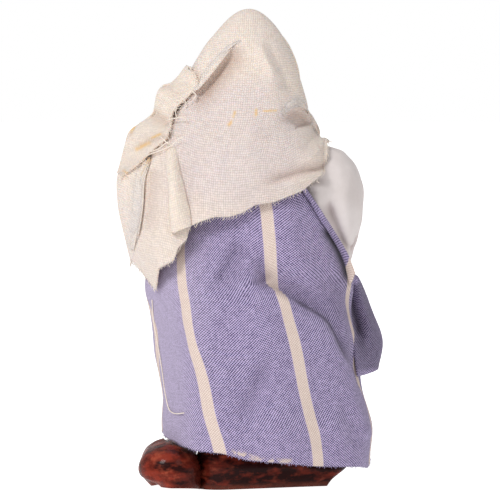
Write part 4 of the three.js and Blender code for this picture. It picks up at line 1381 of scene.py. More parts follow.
SCARF_STAINS = [
    (149, 143, 137, 149, 2.0),
    (160, 134, 152, 138, 1.3),
    (134, 127, 131, 132, 1.4),
    (124, 171, 128, 174, 1.3),
]
SCARF_GRID = (150, 150)
SCARF_BUMPS = [(0.15, 5.0, 21)]
SCARF_ROW_CROWDING = 0.8
FLANK_SHARE = 0.55  # of the way from the chest to the crest
FLANK_LEFT = 3  # how far its upper end bulges to the left
FLANK_AHEAD = 4
# Where a fold is given a shade value, that is painted shade in the scarf's creases.
SCARF_FOLDS = [
    Fold([(154, 113), (162, 119), (171, 124)], -1.2, 0.9, 1.3, ends=(0, 0.2), painted_shade=0.25),
    Fold([(171, 131), (160, 134), (148, 138), (134, 147)], 0.8, 1.2, 0.45, ends=(0.1, 0.3)),
    Fold([(170, 135), (158, 139), (146, 144), (132, 151)], -0.6, 0.5, 1.1, ends=(0.2, 0.3), painted_shade=0.25),
    Fold([(134, 126), (131, 131), (129, 140)], -0.5, 0.6, 0.9, ends=(0, 0.4), painted_shade=0.2),
    Fold([(163, 84), (172, 90), (184, 98)], -0.5, 1.3, 1.3, ends=(0, 0.2), painted_shade=0.12),
    Fold([(186, 69), (190, 78), (193, 88)], 0.4, 1.0, 0.6, ends=(0.1, 0.1)),
]


def scarf_grid(veil_back):
    """Rows from the chest over the shoulder to the cut edge, columns from the top fold down."""
    shares = np.linspace(0, 1, SCARF_GRID[0])
    chest = spread(SCARF_CHEST, shares)
    lines = spread(SCARF_LINES, shares)
    crest_line, edge_line = lines[:, :3], lines[:, 3:]
    crest = unseen(crest_line[:, :2], crest_line[:, 2])
    edge, _ = veil_back.at(edge_line[:, :2], edge_line[:, 2])
    flank = lerp(chest, crest, FLANK_SHARE)
    flank[:, 0] -= FLANK_LEFT * (1 - shares)
    flank[:, 1] += FLANK_AHEAD
    stations = np.stack([chest, flank, crest, edge])
    table = np.concatenate([np.arange(4)[:, None], stations.reshape(4, -1)], axis=1)
    rows = np.linspace(0, 1, SCARF_GRID[1]) ** SCARF_ROW_CROWDING * 3
    return smooth_table(table)(rows).T.reshape(len(rows), len(shares), 3)


def cloth_grid(name, grid, material, thickness, stripes=None, painted_shade=None):
    """An open sheet of cloth from a grid of points, with its cloth coordinates in millimetres."""
    faces, places = grid_faces(*grid.shape[:2], closed=False)
    uvs = {"cloth": np.stack([arc_lengths(grid, axis=1), arc_lengths(grid, axis=0)], axis=-1)}
    if stripes is not None:
        uvs["stripes"] = stripes
    vertices = grid.reshape(-1, 3)
    marks = {"stain": stained(vertices, SCARF_STAINS), "warm": np.ones(len(vertices))}
    marks["painted_shade"] = np.zeros(len(vertices)) if painted_shade is None else painted_shade.ravel()
    uvs = at_corners(uvs, places)
    piece = mesh_object(name, vertices, faces.tolist(), uvs, material, marks)
    thicken(piece, thickness)
    return piece


def make_veil_end(material, veil_back):
    grid = scarf_grid(veil_back)
    normals = grid_normals(grid, closed=False)
    grid, painted_shade = folded(roughened(grid, normals, SCARF_BUMPS), normals, SCARF_FOLDS)
    piece = cloth_grid("veil_end", grid, material, VEIL_CLOTH, painted_shade=painted_shade)
    frays = make_frays("veil_end_frays", grid[-1], grid[-1] - grid[-5], SCARF_FRAY, 52, cream_thread)
    threads = make_threads("veil_end_threads", SCARF_THREADS, veil_back, cream_thread)
    for part in (piece, frays, threads):
        dress(part, "veil")


ROLL_RISE = 2.0
ROLL_LEFT = [(164, 128), (165, 140), (165.5, 150), (166, 165), (168, 190), (170, 215), (171.5, 233)]
ROLL_RIGHT = [(177, 128), (176, 140), (177, 150), (179.5, 165), (185, 190), (190, 212), (191.5, 226)]


ROLL_GRID = (70, 40)
ROLL_BUMPS = [(0.12, 3.5, 31)]
ROLL_COMES = (0.0, 0.4)  # the shares of its length between which it rises from the cloth
ROLL_FLATTENS = (0.8, 1)  # and between which it sinks a little
ROLL_SINKS = 0.3  # share of its rise that it loses there
ROLL_ROOT = (1.0, -0.25)  # how deep its sides lie at its upper end and below


def make_veil_roll(material, veil_back):
    """The rolled fold that hangs beside the panel, a half round laid on the veil."""
    down, over, _, places = strip(veil_back, ROLL_LEFT, ROLL_RIGHT, ROLL_GRID)
    risen = step(*ROLL_COMES, down)
    rise = np.sin(math.pi * over**0.75) ** 0.7 * ROLL_RISE * risen
    rise = rise * (1 - ROLL_SINKS * step(*ROLL_FLATTENS, down))
    grid = lerp(places[:, :1], places[:, -1:], over[:, None])
    grid[..., 1] = np.minimum(grid[..., 1], places[..., 1]) + lerp(*ROLL_ROOT, risen) - rise
    grid = grid[::-1]
    grid = roughened(grid, grid_normals(grid, closed=False), ROLL_BUMPS)
    piece = cloth_grid("veil_roll", grid, material, VEIL_CLOTH)
    dress(piece, "veil")
    return piece


# Blouse

torso = smooth_table(TORSO)
BLOUSE_GRAIN = 0.4  # of the small faces that its skin is made of
BLOUSE_SMOOTHING = 6  # passes over it
BLOUSE_GATHERS = [  # depth, share of the height that counts in them, size and seed
    (0.28, 0.3, 3.0, 41),
    (0.16, 0.5, 1.6, 42),
]
FRONT_GATHERS = 2.0  # how much deeper they are in front
FRONT_FACING = (-0.2, 0.6)
TRUNK_HEIGHTS = (38, 76)
TRUNK_GRID = (60, 96)  # rows and columns
ARM_GRID = (64, 80)  # points round it and along it


def tube(line, radii, around, along):
    """A closed round limb along a curve: vertices and faces."""
    middles, reach = limb_line(line, radii, along)
    ways = unit(np.gradient(middles, axis=0))
    aside = unit(np.cross(ways, np.array([0.02, 1.0, 0.03])))
    over = np.cross(ways, aside)
    turns = np.linspace(0, 2 * math.pi, around, endpoint=False)
    ring = aside[:, None] * np.cos(turns)[None, :, None] + over[:, None] * np.sin(turns)[None, :, None]
    return closed_rings(middles[:, None] + reach[:, None, None] * ring)


def closed_rings(rings):
    """Vertices and faces of a solid whose side is a stack of rings."""
    rows, columns = rings.shape[:2]
    ringed = np.concatenate([rings, rings[:, :1]], axis=1)
    faces, _ = grid_faces(*ringed.shape[:2], closed=True)
    vertices = np.vstack([rings.reshape(-1, 3), rings[0].mean(axis=0), rings[-1].mean(axis=0)])
    first, last = rows * columns, rows * columns + 1
    caps = [(first, (j + 1) % columns, j) for j in range(columns)]
    top = (rows - 1) * columns
    caps += [(last, top + j, top + (j + 1) % columns) for j in range(columns)]
    return vertices, faces.tolist() + caps


def trunk():
    """The body under the blouse: vertices and faces."""
    heights = np.linspace(*TRUNK_HEIGHTS, TRUNK_GRID[0])
    turns = np.linspace(0, 360, TRUNK_GRID[1], endpoint=False)
    heights, turns = np.meshgrid(heights, turns, indexing="ij")
    x, y, wide, deep = torso(heights)
    angle = np.radians(turns)
    across, back = x + wide * np.sin(angle), y - deep * np.cos(angle)
    return closed_rings(np.stack([across, back, heights], axis=-1))


def joined(parts):
    """The vertices and faces of some parts in one list each."""
    vertices, faces = [], []
    count = 0
    for some, made in parts:
        vertices.append(some)
        faces += [tuple(corner + count for corner in face) for face in made]
        count += len(some)
    return np.vstack(vertices), faces


# Where a fold is given a shade value, that is painted shade in the sleeve's creases.
SLEEVE_FOLDS = [
    Fold([(318, 178), (316, 192), (317, 204), (322, 218)], 2.1, 2.0, 3.0, ends=(0.2, 0.3)),
    Fold([(326, 196), (332, 214), (340, 234), (350, 256)], -1.6, 0.6, 1.6, ends=(0.3, 0.05), painted_shade=0.25),
    Fold([(336, 176), (342, 200), (350, 230), (354, 250)], 0.6, 2.0, 2.4, ends=(0.3, 0.1)),
    Fold([(348, 160), (355, 185), (360, 215)], -0.4, 1.6, 2.4, ends=(0.3, 0.3), painted_shade=0.12),
    Fold([(330, 150), (344, 152), (356, 166)], 0, 2.5, 3.5, ends=(0.2, 0.2), painted_shade=0.1),
    Fold([(368, 229), (359, 241), (352, 256)], -2.0, 1.6, 1.2, ends=(0, 0.2)),
    Fold([(332, 162), (338, 178), (341, 200)], -0.35, 1.2, 1.6, ends=(0.3, 0.3)),
]


def own_places(mesh):
    """A mesh's vertices and their normals in the figure's own frame."""
    found = []
    for collection, attribute in ((mesh.vertices, "co"), (mesh.vertex_normals, "vector")):
        values = np.zeros(3 * len(collection))
        collection.foreach_get(attribute, values)
        found.append(values.reshape(-1, 3))
    return spun(found[0] / METRES - AXIS_PLACE, -180 - FACING), spun(found[1], -180 - FACING)


def wrinkle(piece):
    """Soft lengthwise gathers all over the blouse, and the sleeve's folds that show from behind, with the
    shade painted in them.
    """
    points, normals = own_places(piece.data)
    gathers = 0
    for depth, upright, size, seed in BLOUSE_GATHERS:
        gathers = gathers + depth * wander(points * (1, 1, upright), size, seed)
    gathers *= lerp(1, FRONT_GATHERS, step(*FRONT_FACING, normals[:, 1]))
    points, painted_shade = folded(points + gathers[:, None] * normals, normals, SLEEVE_FOLDS)
    piece.data.vertices.foreach_set("co", stand(points).ravel())
    # Painted shade in the sleeve's creases, kept for the material.
    attribute = piece.data.attributes.new("painted_shade", "FLOAT", "POINT")
    attribute.data.foreach_set("value", painted_shade.astype(np.float32))
    piece.data.update()


def make_blouse(material):
    arms = [(LEFT_ARM, LEFT_ARM_RADII), (RIGHT_ARM, RIGHT_ARM_RADII)]
    vertices, faces = joined([trunk()] + [tube(*arm, *ARM_GRID) for arm in arms])
    piece = mesh_object("blouse_cotton", vertices, faces, None, material)
    outward(piece)
    remesh(piece, BLOUSE_GRAIN, BLOUSE_SMOOTHING)
    wrinkle(piece)
    dress(piece, "blouse")


# Head

HEAD_OUTLINE = [  # shares of the head's height: up from the chin, half width, front and back
    (0, 0.12, 0.27, 0.02),
    (0.06, 0.2, 0.36, 0.1),
    (0.16, 0.28, 0.385, 0.2),
    (0.3, 0.345, 0.395, 0.32),
    (0.48, 0.375, 0.4, 0.42),
    (0.66, 0.38, 0.42, 0.46),
    (0.8, 0.35, 0.38, 0.44),
    (0.9, 0.27, 0.28, 0.34),
    (0.97, 0.15, 0.14, 0.19),
    (1, 0.03, 0.02, 0.03),
]
head_outline = smooth_table(HEAD_OUTLINE)

EYE = (0.145, 0.5, 0.062, 0.021)  # middle, half width and half height, in shares of the head's height
EYE_SLANT = 0.004
MOUTH = (0.218, 0.082)  # height and half width
SMILE = 0.012  # how much higher its corners are
LID_CREASE = (0.542, 1.6)  # height, and how fast it falls to either side
FACE_FORMS = [  # how far it stands out, then its place and reach to either side, and up the face
    (0.034, 0.046, 0.022, 0.352, 0.026),  # wings of the nose
    (-0.044, 0.14, 0.085, 0.52, 0.06),  # sockets
    (0.03, EYE[0], 0.058, EYE[1], 0.034),  # eyeballs
    (0.016, 0.13, 0.1, 0.595, 0.032),  # brows
    (0.026, 0.2, 0.085, 0.37, 0.09),  # cheeks
    (-0.006, 0, 0.014, 0.28, 0.025),  # groove over the lips
    (-0.014, 0, 0.07, 0.145, 0.02),  # hollow under the lips
    (0.026, 0, 0.085, 0.075, 0.05),  # chin
]
PAINT_EDGE = 0.006  # half the width over which the lips and the hair begin
HEAD_GRID = (230, 280)  # rows and columns
HEAD_CROWDING = 0.5  # of its columns towards the face
HAIR_RISE = 0.022
NECK = [(-0.2, 3, 66), (0, 3.9, 77), (0.4, 5.1, 83.5)]
NECK_RADII = [4.6, 3.9, 3.7]
NECK_GRID = (64, 40)


def almond(side, up):
    """How far inside the eyes' outline a place is: 1 at the middle, 0 on it and negative outside."""
    across = (np.abs(side) - EYE[0]) / EYE[2]
    return 1 - across**2 - np.abs(up - EYE[1] + EYE_SLANT * across) / EYE[3]


def mouth(side, power):
    """The line between the lips, and how full they are."""
    across = (side / MOUTH[1]) ** 2
    return MOUTH[0] + SMILE * across, np.clip(1 - across, 0, 1) ** power


def face_relief(side, up):
    """How far the face stands out from the outline, in shares of the head's height."""
    aside = np.abs(side)
    ridge = step(0.325, 0.37, up) * lerp(0.1, 0.016, step(0.37, 0.62, up)) * (1 - step(0.6, 0.7, up))
    relief = ridge * bell(side, lerp(0.052, 0.03, step(0.36, 0.5, up)))
    for rise, place, reach, height, reach_up in FACE_FORMS:
        relief = relief + rise * bell(aside - place, reach) * bell(up - height, reach_up)
    lids = 0.007 * bell(almond(side, up), 0.45)
    above_crease = up - LID_CREASE[0] + LID_CREASE[1] * (aside - EYE[0]) ** 2
    crease = -0.006 * bell(aside - EYE[0], 0.07) * bell(above_crease, 0.007)
    smile, fade = mouth(side, 0.5)
    upper = 0.024 * fade * bell(up - smile - 0.02, 0.017)
    lower = 0.028 * fade * bell(up - smile + 0.022, 0.02)
    parting = -0.012 * bell(side, MOUTH[1]) * bell(up - smile, 0.005)
    return relief + lids + crease + upper + lower + parting


def hairline(side):
    """How high up the forehead the hair starts: parted in the middle and combed to the sides."""
    return 0.83 - 1.1 * np.abs(side) ** 1.7 - 0.02 * bell(side, 0.02)


def painted(x):
    """Where paint begins, at zero, with a narrow soft edge."""
    return step(-PAINT_EDGE, PAINT_EDGE, x)


def face_paint(side, up, front):
    """The masks that the head's paint follows, by name."""
    aside = np.abs(side)
    inside = almond(side, up)
    gaze = np.hypot(aside - EYE[0], up - EYE[1] + 0.003)
    pupil = step(0.0115, 0.0085, gaze) * step(0, 0.1, inside)
    lash = bell(inside, 0.22) * step(EYE[1] - 0.004, EYE[1] + 0.004, up)
    brow_line = 0.6 - 1.3 * (aside - 0.125) ** 2
    brow = step(0.012, 0.004, np.abs(up - brow_line)) * step(0.05, 0.075, aside) * step(0.215, 0.17, aside)
    above_crease = up - 0.54 + LID_CREASE[1] * (aside - EYE[0]) ** 2
    crease = 0.5 * bell(aside - EYE[0], 0.06) * bell(above_crease, 0.005)
    smile, thick = mouth(side, 0.6)
    bow = 0.038 - 0.01 * bell(side, 0.012)
    lips = painted(smile + bow * thick - up) * painted(up - smile + 0.042 * thick)
    mouth_line = bell(up - smile, 0.004) * thick * (aside < MOUTH[1])
    cheeks = bell(aside - 0.2, 0.075) * bell(up - 0.34, 0.075)
    nose_tip = bell(side, 0.03) * bell(up - 0.37, 0.03)
    paint = {
        "eye_white": step(-0.1, 0.12, inside),
        "iris": step(0.0235, 0.0195, gaze) * step(-0.05, 0.1, inside),
        "dark": np.maximum(pupil, np.maximum(lash, 0.6 * mouth_line)),
        "brow": brow + crease,
        "lips": lips * (aside < MOUTH[1]) * thick,
        "blush": cheeks + 0.4 * nose_tip,
    }
    paint = {label: values * front for label, values in paint.items()}
    paint["hair"] = np.where(front > 0, painted(up - hairline(side)), 1)
    return paint


def make_head(material):
    ahead, aside = towards_face()
    rounds = np.linspace(0, 2 * math.pi, HEAD_GRID[1], endpoint=False)
    ups, rounds = np.meshgrid(np.linspace(0, 1, HEAD_GRID[0]), rounds, indexing="ij")
    turns = rounds - HEAD_CROWDING * np.sin(rounds)
    faced = np.cos(turns)
    wide, front, back = head_outline(ups)
    side = wide * np.sin(turns)
    paint = face_paint(side, ups, step(0.02, 0.1, faced))
    strands = 0.35 + 0.3 * np.sin(90 * side + 26 * ups) * bell(side, 0.4)
    relief = face_relief(side, ups) * step(0, 0.3, faced) * (1 - paint["hair"])
    relief += HAIR_RISE * paint["hair"] * (0.7 + 0.3 * strands)
    forward = faced * np.where(faced > 0, front, back) + relief * np.maximum(faced, 0)
    chin = np.array([HEAD_CENTRE[0], HEAD_CENTRE[1], HEAD_CENTRE[2] - HEAD_HEIGHT / 2])
    skull = chin + HEAD_HEIGHT * (side[..., None] * aside + forward[..., None] * ahead)
    skull[..., 2] += HEAD_HEIGHT * ups
    vertices, faces = joined([closed_rings(skull), tube(NECK, NECK_RADII, *NECK_GRID)])
    beyond = np.zeros(len(vertices) - paint["hair"].size)
    marks = {label: np.concatenate([values.ravel(), beyond]) for label, values in paint.items()}
    piece = mesh_object("painted_head", vertices, faces, None, material, marks)
    outward(piece)
    dress(piece, "head")


# Hands

HAND_GRAIN = 0.16
HAND_SMOOTHING = 8


def make_hand(name, material):
    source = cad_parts[name].data.copy()
    piece = bpy.data.objects.new("painted_" + name, source)
    bpy.context.scene.collection.objects.link(piece)
    source.materials.clear()
    source.materials.append(material)
    tidy_mesh(piece)
    remesh(piece, HAND_GRAIN, HAND_SMOOTHING)
    dress(piece, name)


# Shoes

SHOE_LENGTH = 32.0
SHOE_WIDTH = 10.6
SHOE_HEIGHT = 9.4
HEEL_FULLNESS = {-1: 1.2, 1: 0.5}  # added all round the left and the right heel
TOE_FULLNESS = {-1: -0.4, 1: 0.0}
HEEL_SHIFT = {-1: -0.8, 1: -0.35}  # which keeps the fuller heel clear of the other
HEEL_SQUARE = {-1: 0.0, 1: 0.55}  # share of the upper edge's rounding that its heel goes without
HEEL_ROCK = {-1: 0.42, 1: 0.0}  # share of its half width that its outer lower edge draws in more
HEEL_LIFT = {-1: 1.15, 1: 0.0}  # how far its lower edge is worn away behind
DARK_SIDE = (-16.5, -10.2)  # the places across between which shade is painted on the left heel, darkest by the right shoe
TOE_LIFT = 0.7
TOE_OVERHANG = {-1: 1.2, 1: 3.4}  # how far the left and the right toe reach past the sole
HEEL_GAP = 0.3
HEEL_STAGGER = 1.6
SOLE_WORN = (0.6, 1.6)  # the heights between which its edge is rubbed
LEFT_FOOT_TURN = 4.5
RIGHT_FOOT_TURN = -76.0
HEEL_PART = 0.3  # share of the way to the toe over which the heel's own shape ends
TOE_LOWER = 0.22  # share of the height that the toe is lower
SHOE_GRID = (44, 40, 26)  # rows, points round each end and points along each side
LEG_GRID = (48, 60)
STOCKING_RADII = [2.8, 2.8, 4.3, 4.3]
STOCKING_START = 4.5
ANKLE_SHIFT = (0.8, 1.8)
SHOE_ROWS = [  # share of the height, then how far it draws in at the outer and the inner side
    (0, 0.4, 0.03),
    (0.1, 0.24, 0),
    (0.24, 0.09, 0),
    (0.46, 0, 0),
    (0.68, 0.1, 0.06),
    (0.85, 0.32, 0.26),
    (0.95, 0.6, 0.58),
    (1, 0.88, 0.86),
]
shoe_rows = smooth_table(SHOE_ROWS)


def shoe(side, turn):
    """Rings from the sole up, the outline starting at the heel's side."""
    half, run = SHOE_WIDTH / 2, SHOE_LENGTH - SHOE_WIDTH
    rows, round_end, along_side = SHOE_GRID
    end = np.linspace(0, math.pi, round_end)
    straight = np.linspace(0, 1, along_side)[1:-1]
    angles = np.concatenate([end + math.pi, 0 * straight, end, 0 * straight + math.pi])
    carried = np.concatenate([0 * end, straight, 0 * end + 1, 1 - straight])
    ups = np.linspace(0, 1, rows)[:, None]
    outer, inner = shoe_rows(np.broadcast_to(ups, (rows, len(angles))))
    outside = np.maximum(np.maximum(side * np.cos(angles), np.sin(angles)), 0)
    heel = 1 - step(0, HEEL_PART, carried)
    fullness = half + lerp(HEEL_FULLNESS[side], TOE_FULLNESS[side], step(0, 0.8, carried))
    drawn_in = HEEL_ROCK[side] * outside * (1 - step(0, 0.26, ups)) * heel
    squared = HEEL_SQUARE[side] * step(0.4, 0.5, ups) * heel
    drawn_in = drawn_in + lerp(inner, outer, outside) * (1 - squared)
    radius = fullness * np.maximum(1 - drawn_in, 0.05)
    tip = step(0, 1, np.sin(angles)) * (carried == 1)
    overhang = tip * TOE_OVERHANG[side] * (1 - step(0, 0.46, ups))
    along = carried * (run - overhang) + radius * np.sin(angles)
    forward = step(0.45 * run, run + half, along)
    height = ups * SHOE_HEIGHT * (1 - TOE_LOWER * forward) + 4 * TOE_LIFT * tip * ups * (1 - ups)
    worn = (1 - step(0, 0.5, ups)) * heel
    height = height + HEEL_LIFT[side] * np.maximum(-np.sin(angles), outside) * worn
    rings = spun(np.stack([radius * np.cos(angles), along, height], axis=-1), turn)
    axis = math.radians(LEFT_FOOT_TURN)
    stagger = 2 * HEEL_STAGGER * math.sin(axis)
    apart = (SHOE_WIDTH + HEEL_GAP - stagger) / (2 * math.cos(axis))
    x = BETWEEN_HEELS[0] + side * apart + HEEL_SHIFT[side]
    y = BETWEEN_HEELS[1] + side * HEEL_STAGGER
    return closed_rings(rings + np.array([x, y, 0]))


def make_foot(name, side, turn, leg, leather, stocking):
    """A shoe and the leg in it, side being -1 at the left and 1 at the right."""
    shod = shoe(side, turn)
    ankle, knee, hip = leg
    raised = (ankle[0] + ANKLE_SHIFT[0], ankle[1] + ANKLE_SHIFT[1], SHOE_HEIGHT)
    line = [(*raised[:2], STOCKING_START), raised, knee, hip]
    stockinged = tube(line, STOCKING_RADII, *LEG_GRID)
    # Painted shade on the left heel where it meets the right shoe, which hides the seam between them.
    seam_shade = step(*DARK_SIDE, shod[0][:, 0]) if side < 0 else np.zeros(len(shod[0]))
    parts = [
        ("_shoe", shod, leather, {"painted_shade": seam_shade}, "varnished_shoe_paint"),
        ("_stocking", stockinged, stocking, None, "painted_terracotta"),
    ]
    for ending, (vertices, faces), material, marks, finish in parts:
        piece = mesh_object(name + ending, vertices, faces, None, material, marks)
        outward(piece)
        dress(piece, name)


# Materials


class Graph:
    """A node tree that is written as nested calls."""

    def __init__(self, tree):
        self.tree = tree

    def add(self, kind, *values, **settings):
        """A node with its first inputs in order; a setting that names an input sets or links it."""
        node = self.tree.nodes.new(kind if "Node" in kind else "ShaderNode" + kind)
        named = {name: value for name, value in settings.items() if name[0].isupper()}
        for name, value in settings.items():
            if name not in named:
                setattr(node, name, value)
        for place, value in [*enumerate(values), *named.items()]:
            key = place if isinstance(place, int) else place.replace("_", " ")
            self.feed(node.inputs[key], value)
        return node

    def feed(self, socket, value):
        if isinstance(value, bpy.types.NodeSocket):
            self.tree.links.new(value, socket)
        elif value is not None:
            socket.default_value = value

    def maths(self, operation, *values):
        return self.add("Math", *values, operation=operation).outputs[0]

    def chain(self, operation, values):
        found = values[0]
        for value in values[1:]:
            found = self.maths(operation, found, value)
        return found

    def total(self, *values):
        return self.chain("ADD", values)

    def product(self, *values):
        return self.chain("MULTIPLY", values)

    def less(self, value, taken):
        return self.maths("SUBTRACT", value, taken)

    def remap(self, value, low, high, start=0.0, end=1.0):
        node = self.add("MapRange", value, low, high, start, end)
        node.interpolation_type = "SMOOTHSTEP"
        return node.outputs[0]

    def mix(self, share, a, b):
        node = self.add("Mix", data_type="RGBA")
        for socket, value in zip((node.inputs[0], node.inputs[6], node.inputs[7]), (share, a, b)):
            self.feed(socket, value)
        return node.outputs[2]

    def noise(self, place, scale, detail=2.0, roughness=0.5):
        node = self.add("TexNoise", Vector=place, Scale=scale, Detail=detail, Roughness=roughness)
        return node.outputs["Fac"]

    def cloth_uv(self, name="cloth"):
        """Across and along the cloth, in millimetres."""
        node = self.add("SeparateXYZ", self.add("UVMap", uv_map=name).outputs[0])
        return node.outputs[0], node.outputs[1]

    def place(self):
        """Where on its object each point lies, in metres."""
        return self.add("TexCoord").outputs["Object"]

    def mark(self, name):
        return self.add("Attribute", attribute_name=name).outputs["Fac"]

    def group(self, tree, **inputs):
        node = self.tree.nodes.new("ShaderNodeGroup")
        node.node_tree = tree
        for name, value in inputs.items():
            self.feed(node.inputs[name.replace("_", " ")], value)
        return node.outputs


def new_group(name, inputs, outputs):
    """An empty shader group with named sockets: its graph, its inputs and its output node."""
    tree = bpy.data.node_groups.new(name, "ShaderNodeTree")
    kinds = {"value": "NodeSocketFloat", "colour": "NodeSocketColor", "vector": "NodeSocketVector"}
    for direction, sockets in (("INPUT", inputs), ("OUTPUT", outputs)):
        for label, kind in sockets.items():
            tree.interface.new_socket(label, in_out=direction, socket_type=kinds[kind])
    entry = tree.nodes.new("NodeGroupInput").outputs
    leave = tree.nodes.new("NodeGroupOutput").inputs
    return Graph(tree), entry, leave


def make_weave():
    """Plain weave: which of two threads is on top, and the gaps and rounding of the threads."""
    inputs = ("Across", "Along", "Pitch Across", "Pitch Along", "Lean", "Unevenness", "Streaks", "Speckle")
    outputs = ("Top", "Gap", "Slub", "Height")
    sockets = (dict.fromkeys(names, "value") for names in (inputs, outputs))
    graph, entry, leave = new_group("Weave", *sockets)
    place = graph.add("CombineXYZ", entry["Across"], entry["Along"], 0.0).outputs[0]
    sway = graph.add("TexNoise", Vector=place, Scale=0.35, Detail=5.0, Roughness=0.7).outputs["Color"]
    sways = graph.add("SeparateXYZ", sway).outputs
    threads = []
    for name, drift in (("Across", sways[0]), ("Along", sways[1])):
        pitch = entry["Pitch " + name]
        moved = graph.product(graph.less(drift, 0.5), entry["Unevenness"])
        threads.append(graph.total(graph.maths("DIVIDE", entry[name], pitch), moved))
    across, along = (graph.product(thread, math.pi) for thread in threads)
    leaning = graph.maths("COSINE", graph.less(across, along))
    crossing = graph.maths("COSINE", graph.total(across, along))
    strong = graph.product(leaning, entry["Lean"])
    weak = graph.product(crossing, graph.less(1.0, entry["Lean"]))
    slubs = []
    for wide, long in ((1.0, 0.16), (0.16, 1.0)):
        stretched = graph.add("VectorMath", place, (wide, long, 1.0), operation="MULTIPLY").outputs[0]
        streak = graph.less(graph.noise(stretched, 2.6, 1.0), 0.5)
        slubs.append(graph.product(streak, entry["Streaks"]))
    cells = graph.add("CombineXYZ", *[graph.maths("FLOOR", thread) for thread in threads]).outputs[0]
    crossing_tone = graph.add("TexWhiteNoise", cells, noise_dimensions="2D").outputs[0]
    slubs.append(graph.product(graph.less(crossing_tone, 0.5), entry["Speckle"]))
    slub = graph.total(*slubs)
    graph.feed(leave["Slub"], slub)
    graph.feed(leave["Top"], graph.total(graph.product(graph.total(strong, weak), 0.5), 0.5))
    rounds = [graph.maths("ABSOLUTE", graph.maths("SINE", angle)) for angle in (across, along)]
    gap = graph.less(1.0, graph.product(*[graph.maths("POWER", r, 0.6) for r in rounds]))
    graph.feed(leave["Gap"], gap)
    over = graph.maths("SINE", across)
    over = graph.total(graph.product(over, graph.maths("SINE", along), 0.5), 0.5)
    under = graph.less(1.0, over)
    height = graph.maths("MAXIMUM", graph.product(rounds[0], over), graph.product(rounds[1], under))
    graph.feed(leave["Height"], height)
    return graph.tree


def make_patches():
    """Soft patches: a mask from noise at one scale."""
    inputs = {"Place": "vector", "Scale": "value", "Low": "value", "High": "value"}
    graph, entry, leave = new_group("Patches", inputs, {"Mask": "value"})
    broad = graph.add("TexNoise", Vector=entry["Place"], Scale=entry["Scale"], Detail=4.0, Roughness=0.6)
    mask = graph.add("MapRange", broad.outputs["Fac"], entry["Low"], entry["High"])
    graph.feed(leave["Mask"], mask.outputs[0])
    return graph.tree


def patches(graph, place, scale, low=0.35, high=0.7):
    return graph.group(PATCHES, Place=place, Scale=scale, Low=low, High=high)["Mask"]


def start_material(name, **settings):
    """A material with some of its shader's own values set, and a graph to fill it."""
    material = bpy.data.materials.new(name)
    material.use_nodes = True
    shader = material.node_tree.nodes["Principled BSDF"]
    for label, value in settings.items():
        shader.inputs[label.replace("_", " ")].default_value = value
    return material, shader, Graph(material.node_tree)


def linear(*parts):
    """A colour from the 0 to 255 parts that a painter's card gives."""
    shares = [part / 255 for part in parts]
    return (*[x / 12.92 if x <= 0.04045 else ((x + 0.055) / 1.055) ** 2.4 for x in shares], 1.0)


def surface(graph, shader, colour, height, distance, strength=1.0):
    """Gives a shader its colour and a relief as deep as a distance in millimetres."""
    relief = graph.add("Bump", Strength=strength, Distance=distance * METRES, Height=height)
    graph.feed(shader.inputs["Base Color"], colour)
    graph.feed(shader.inputs["Normal"], relief.outputs[0])


CALICO_PITCH = (0.47, 0.5)
STRIPED_PITCH = (0.308, 0.262)


def make_calico():
    """Coarse cream weave: warmer at edges, whiter at the back, with warm brown shade painted in its folds
    and orange glue stains.
    """
    material, shader, graph = start_material(
        "cream_calico", Roughness=0.9, Sheen_Weight=0.1, Subsurface_Weight=0.25,
        Subsurface_Radius=(1.0, 0.62, 0.4), Subsurface_Scale=0.8 * METRES,
    )
    across, along = graph.cloth_uv()
    weave = graph.group(WEAVE, Across=across, Along=along, Pitch_Across=CALICO_PITCH[0],
                        Pitch_Along=CALICO_PITCH[1], Lean=0.5, Unevenness=1.6, Streaks=0.45, Speckle=0.5)
    place = graph.place()
    patch = patches(graph, place, 90.0)
    warm = graph.maths("MINIMUM", graph.total(graph.mark("warm"), graph.product(patch, 0.4)), 1.0)
    cloth = graph.mix(warm, linear(245, 230, 227), linear(255, 238, 224))
    cool = graph.less(1.0, warm)
    open_weave = graph.total(graph.product(patch, 0.12), graph.product(cool, 0.2), 0.27)
    worn = graph.total(graph.product(weave["Gap"], open_weave), graph.product(weave["Slub"], 0.32))
    shaded = graph.mix(graph.maths("MAXIMUM", worn, 0.0), cloth, linear(158, 138, 130))
    # Painted shade: warm brown where the folds are deep.
    shaded = graph.mix(graph.mark("painted_shade"), shaded, linear(150, 112, 88))
    blotch = graph.remap(graph.noise(place, 900.0), 0.3, 0.6, 0.5, 1.0)
    stain = graph.product(graph.mark("stain"), blotch, 0.9)
    colour = graph.mix(stain, shaded, linear(240, 198, 134))
    surface(graph, shader, colour, weave["Height"], 0.09)
    return material


